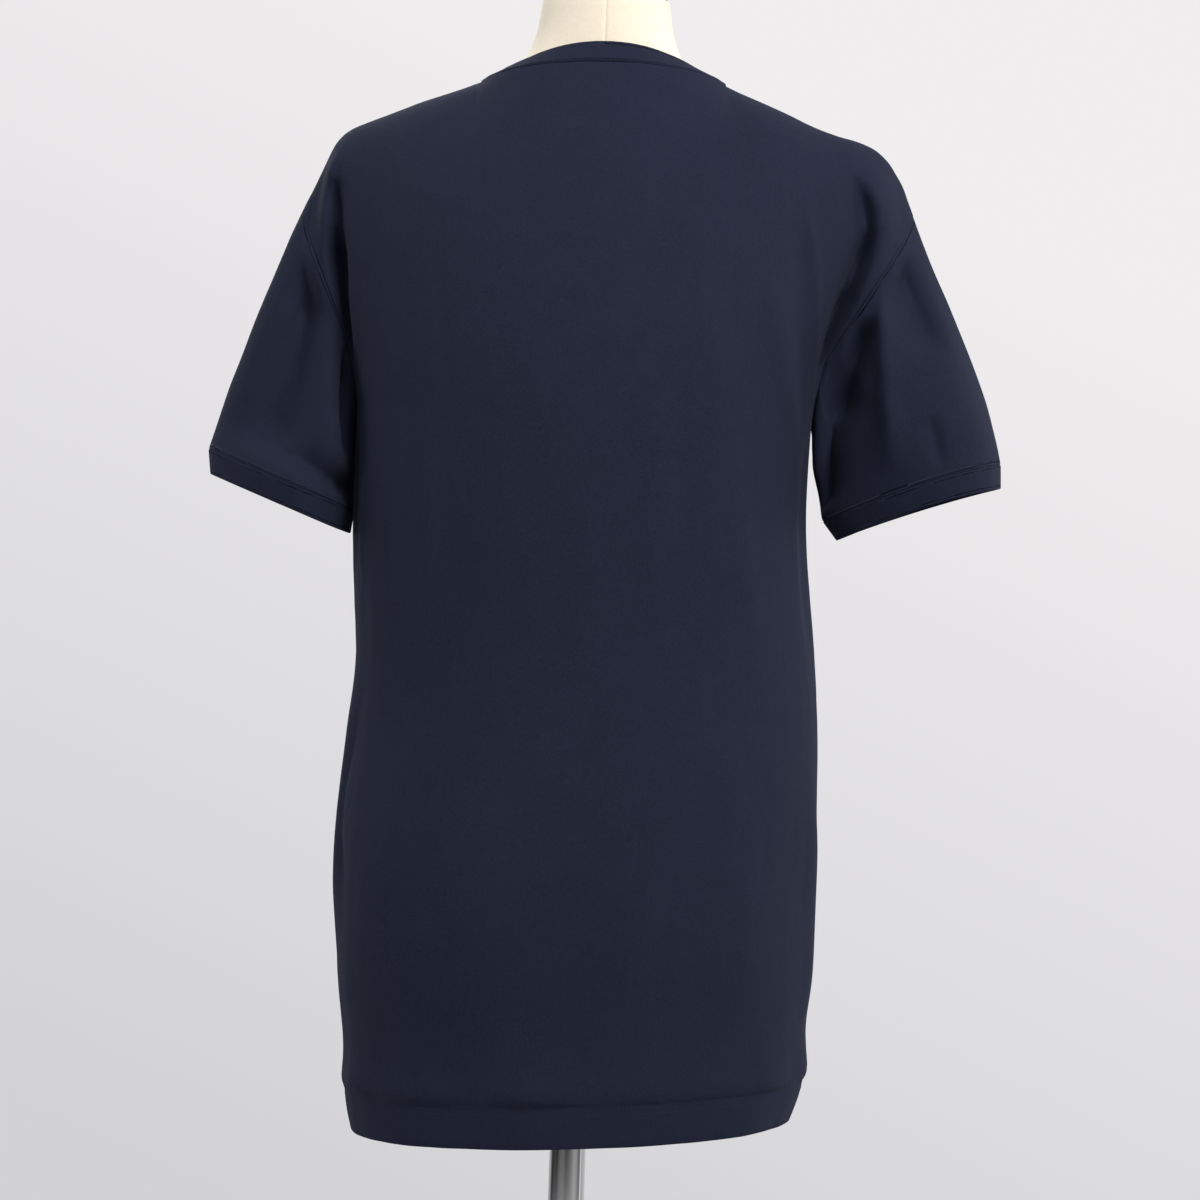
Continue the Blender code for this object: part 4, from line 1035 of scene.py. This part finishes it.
def hem_stitches(grids, normals):
    """The hem's twin rows of stitches on the back and the front, as one mesh of short threads, each
    pulled down into the cloth at its ends."""
    points, faces = [], []
    turns = np.arange(STITCH_SIDES) * 2 * math.pi / STITCH_SIDES
    for name, below in itertools.product(("shirt_back", "shirt_front"), STITCH_ROWS):
        row = np.argmin(np.abs(body_heights() - (HEM_Z + HEM_FOLD - below)))
        for place, ahead, up in zip(*stitch_line(grids[name][row], normals[name][row])):
            side = np.cross(ahead, up)
            round_it = np.outer(np.cos(turns), side) + np.outer(np.sin(turns), up)
            for t in STITCH_RINGS:
                middle = place + ahead * t * STITCH_LONG / 2 - up * STITCH_R * t * t
                points.append(middle + round_it * STITCH_R * math.sqrt(max(1 - t * t, STITCH_END)))
            start = (len(points) - len(STITCH_RINGS)) * STITCH_SIDES
            faces += [[start + k for k in face] for face in loft_faces(len(STITCH_RINGS), STITCH_SIDES)]
    return make("hem_stitches", np.concatenate(points), faces, "thread")


# ---- the dress form and its stand --------------------------------------------------------------

FORM_SIDES = 120
FORM_ROWS = 180
FORM_TOP_ROWS = (1.0885, 1.0905)  # heights of more rings, where the neck's upper edge is rounded
FORM_SMOOTHING = 6  # passes that round the form between its sections
FORM_SEAM_DEPTH = 0.0006
FORM_SEAM_REACH = 0.0009
FORM_SEAM_TURNS = np.array([-1.6, -0.8, -0.35, 0.35, 0.8, 1.6])  # degrees from a seam
POLE_SIDES, BASE_SIDES = 96, 192
HARD_EDGE, BASE_EDGE = 0.0008, 0.0007  # widths to which sharp edges are rounded
SHARP_COVER, SHARP_HARD, SHARP_ROUNDED = 50, 40, 30  # degrees from which an edge counts as sharp


def loft_faces(rows, columns):
    """Faces between closed rings of points, with a cap on the first ring and on the last."""
    faces = [list(range(columns)), list(range((rows - 1) * columns, rows * columns))]
    for i in range(rows - 1):
        for j in range(columns):
            low, m = i * columns, (j + 1) % columns
            faces.append((low + j, low + m, low + columns + m, low + columns + j))
    return faces


def form_turns():
    """Angles round the dress form, close together at its seams in the middle of back and front."""
    even = np.arange(0, 360, 360 / FORM_SIDES)
    turns = np.concatenate([even, 90 + FORM_SEAM_TURNS, 270 + FORM_SEAM_TURNS])
    return np.radians(np.unique(np.round(turns, 3)))


def make_form():
    """The padded torso in its fabric cover, and the disc that closes its neck."""
    low, high, top = FORM["z"][[0, -2, -1]]
    heights = np.concatenate([np.linspace(low, high, FORM_ROWS), FORM_TOP_ROWS, [top]])
    half, front, back, square = (
        np.interp(heights, FORM["z"], FORM[k])[:, None] for k in ("half", "front", "back", "square")
    )
    for values in (half, front, back):
        for _ in range(FORM_SMOOTHING):
            values[1:-4] += (values[:-5] - 2 * values[1:-4] + values[2:-3]) / 4
    turn = form_turns()
    x = half * power(np.cos(turn), square)
    y = np.where(np.sin(turn) > 0, back, front) * power(np.sin(turn), square)
    rings = xyz(x, y, heights[:, None])
    off_seam = np.abs(rings[..., 0]) / FORM_SEAM_REACH
    rings[..., 1] -= np.sign(y) * FORM_SEAM_DEPTH * np.exp(-off_seam ** 2)
    faces = loft_faces(*rings.shape[:2])
    torso = make("form_torso_cover", rings.reshape(-1, 3), faces, "form_cover", "form_torso",
                 sharp=SHARP_COVER)
    ring, cap_z = rings[-1] * (1, 1, 0), top + PIECE_GAP
    cap = np.array([ring * share + (0, 0, cap_z + rise) for share, rise in NECK_CAP])
    make_hard("form_neck_disc", cap, "neck_cap", "form_neck_cap", HARD_EDGE)
    return torso


def make_hard(name, rings, finish, node, width):
    """A hard piece from closed rings of points, its sharp edges rounded to that width."""
    faces = loft_faces(*rings.shape[:2])
    piece = make(name, rings.reshape(-1, 3), faces, finish, node, sharp=SHARP_HARD)
    bevel = piece.modifiers.new("rounded", "BEVEL")
    bevel.width, bevel.segments, bevel.angle_limit = width, 3, math.radians(SHARP_ROUNDED)


def circle(radius, z, sides):
    """Points of a level circle about the pole's axis."""
    turn = np.arange(sides) * 2 * math.pi / sides
    return xyz(radius * np.cos(turn), radius * np.sin(turn), z)


def make_stand():
    """The pole with the flange that carries the torso, and the round base with its hub."""
    flange_top = FORM["z"][0] - PIECE_GAP
    flange_low = flange_top - FLANGE_THICK
    neck = [(POLE_R + wider, flange_low - below) for wider, below in FLANGE_NECK]
    pole = [(POLE_R, BASE[-1][1] + PIECE_GAP), *neck, (FLANGE_R, flange_low), (FLANGE_R, flange_top)]
    rings = np.array([circle(r, z, POLE_SIDES) for r, z in pole])
    make_hard("pole_tube", rings, "chrome", "stand_pole", HARD_EDGE)
    rings = np.array([circle(r, z, BASE_SIDES) for r, z in BASE])
    make_hard("base_plate", rings, "base_metal", "stand_base", BASE_EDGE)


# ---- camera, light and surroundings ------------------------------------------------------------

CAMERA_PLACE = Vector((-0.0095, 2.1, 0.68))
CAMERA_ROLL = math.radians(1.942)
CAMERA_LENS = 91.3

# Painted shade on the wall behind the shirt: its colour ramp runs darker towards the floor and towards
# +X.
WALL_MIDDLE = 0.58
WALL_FALL_UP = 2.4
WALL_FALL_ACROSS = -1.0
WALL_COLOURS = ((0, (0.64, 0.635, 0.66)), (1, (0.87, 0.85, 0.86)))
# What polished metal shows of the room: the shares of a turn from -Y by -X, +Y and +X, and how pale
# the room is there. It is dark behind the camera, which stands towards +Y.
ROOM = (
    (0, 0.66), (0.111, 0.6), (0.208, 0.45), (0.236, 0.95), (0.25, 0.18), (0.289, 0.18),
    (0.333, 0.34), (0.375, 0.36), (0.417, 0.2), (0.472, 0.07), (0.522, 0.02), (0.569, 0.12),
    (0.625, 0.12), (0.689, 0.02), (0.739, 0.06), (0.806, 0.03), (0.867, 0.4), (1, 0.66),
)
ROOM_ENDS = (0.35, 0.7)  # how steeply up or down metal stops showing the room, and shows the wall
AMBIENT_COLOUR = (0.95, 0.97, 1.0)
AMBIENT = 0.21
WALL_GLOW = 0.5  # more light from the pale wall that the shirt's front faces
FLOOR_R, FLOOR_Z, FLOOR_SIDES = 1.15, -0.0003, 96
FLOOR_FADE = (0.45, 0.98)  # the shares of that radius between which the floor fades out
FLOOR_COLOUR = (0.52, 0.516, 0.524)
LAMPS = (  # name, place, height that it is turned to, size, watts and colour
    ("key", (-0.9, 1.75, 2.3), 0.85, 0.9, 58, (1.0, 0.98, 0.97)),
    ("fill", (0.4, 2.7, 1.7), 0.9, 1.2, 10, (0.94, 0.97, 1.0)),
    ("left", (2.0, -0.5, 1.5), 0.85, 1.4, 24, (1, 1, 1)),
    ("right", (-2.1, -0.6, 1.1), 0.75, 1.4, 24, (1, 1, 1)),
    ("front", (0.8, -2.4, 2.0), 0.7, 1.8, 32, (1, 1, 1)),
)


def make_camera():
    """Looks level along -Y at the shirt's back, rolled a little."""
    data = bpy.data.cameras.new("camera")
    data.lens, data.sensor_width = CAMERA_LENS, 36
    camera = placed("camera", data)
    c, s = math.cos(CAMERA_ROLL), math.sin(CAMERA_ROLL)
    turn = Matrix(((-c, s, 0), (0, 0, 1), (s, c, 0)))
    camera.matrix_world = Matrix.Translation(CAMERA_PLACE) @ turn.to_4x4()
    bpy.context.scene.camera = camera


def make_lamp(name, place, height, size, watts, colour):
    """A square soft light, turned to the pole's axis at that height."""
    data = bpy.data.lights.new(name, "AREA")
    data.size, data.energy, data.color = size, watts, colour
    lamp = placed(name, data)
    lamp.location = place
    way = Vector((0, 0, height)) - Vector(place)
    lamp.rotation_euler = way.to_track_quat("-Z", "Y").to_euler()


def make_world():
    """A pale even surround that also lights softly. The wall it shows has painted shade: a little
    darker below and on one side.
    """
    world = bpy.data.worlds.new("surround")
    bpy.context.scene.world = world
    world.use_nodes = True
    tree = world.node_tree
    tree.nodes.clear()
    way = add(tree, "SeparateXYZ", {0: add(tree, "TexCoord").outputs["Generated"]})
    tall = maths(tree, "MULTIPLY", way.outputs[2], WALL_FALL_UP)
    wide = maths(tree, "MULTIPLY", way.outputs[0], WALL_FALL_ACROSS)
    # the wall's painted shade: darker below and towards +X
    wall = ramp(tree, maths(tree, "ADD", maths(tree, "ADD", tall, wide), WALL_MIDDLE), WALL_COLOURS)
    turn = maths(tree, "DIVIDE", maths(tree, "ARCTAN2", way.outputs[0], way.outputs[1]), 2 * math.pi)
    room = ramp(tree, maths(tree, "ADD", turn, 0.5), [(at, (pale,) * 3) for at, pale in ROOM])
    steep = ranged(tree, maths(tree, "ABSOLUTE", way.outputs[2]), *ROOM_ENDS)
    rays = add(tree, "LightPath")
    shown = maths(tree, "MULTIPLY", rays.outputs["Is Glossy Ray"], maths(tree, "SUBTRACT", 1.0, steep))
    colour = add(tree, "MixRGB", {0: shown, 1: wall, 2: room}).outputs[0]
    seen = add(tree, "Background", {"Color": colour, "Strength": 1.0})
    behind = maths(tree, "MAXIMUM", maths(tree, "MULTIPLY", way.outputs[1], -1.0), 0.0)
    glow = maths(tree, "ADD", maths(tree, "MULTIPLY", behind, WALL_GLOW), AMBIENT)
    lit = add(tree, "Background", {"Color": (*AMBIENT_COLOUR, 1), "Strength": glow})
    direct = maths(tree, "MAXIMUM", rays.outputs["Is Camera Ray"], rays.outputs["Is Glossy Ray"])
    direct = maths(tree, "MAXIMUM", direct, rays.outputs["Is Transmission Ray"])
    both = add(tree, "MixShader", {0: direct, 1: lit.outputs[0], 2: seen.outputs[0]})
    end = add(tree, "OutputWorld", {"Surface": both.outputs[0]})
    end.is_active_output = True


def make_floor():
    """A pale round floor that fades out into the surround."""
    mesh = bpy.data.meshes.new("floor")
    ring = circle(FLOOR_R, FLOOR_Z, FLOOR_SIDES)
    mesh.from_pydata(ring.tolist(), [], [list(range(FLOOR_SIDES))])
    floor = placed("floor", mesh)
    made, tree, shader = blank_material("floor", Base_Color=(*FLOOR_COLOUR, 1), Roughness=0.9,
                                        Specular_IOR_Level=0.1)
    place = add(tree, "TexCoord").outputs["Object"]
    out = add(tree, "VectorMath", {0: place}, operation="LENGTH").outputs["Value"]
    low, high = (FLOOR_R * share for share in FLOOR_FADE)
    fade = ranged(tree, out, low, high, interpolation_type="SMOOTHSTEP")
    clear = add(tree, "BsdfTransparent")
    both = add(tree, "MixShader", {0: fade, 1: shader.outputs[0], 2: clear.outputs[0]})
    tree.links.new(both.outputs[0], tree.nodes["Material Output"].inputs["Surface"])
    mesh.materials.append(made)


bpy.context.scene.view_settings.view_transform = "Standard"
make_camera()
make_world()
make_floor()
for lamp in LAMPS:
    make_lamp(*lamp)

form = make_form()
bpy.context.view_layer.update()
form_tree = BVHTree.FromObject(form, bpy.context.evaluated_depsgraph_get())
shirt, shirt_points, shirt_normals = make_shirt(form_tree)
stitches = hem_stitches(shirt_points, shirt_normals)
make_stand()
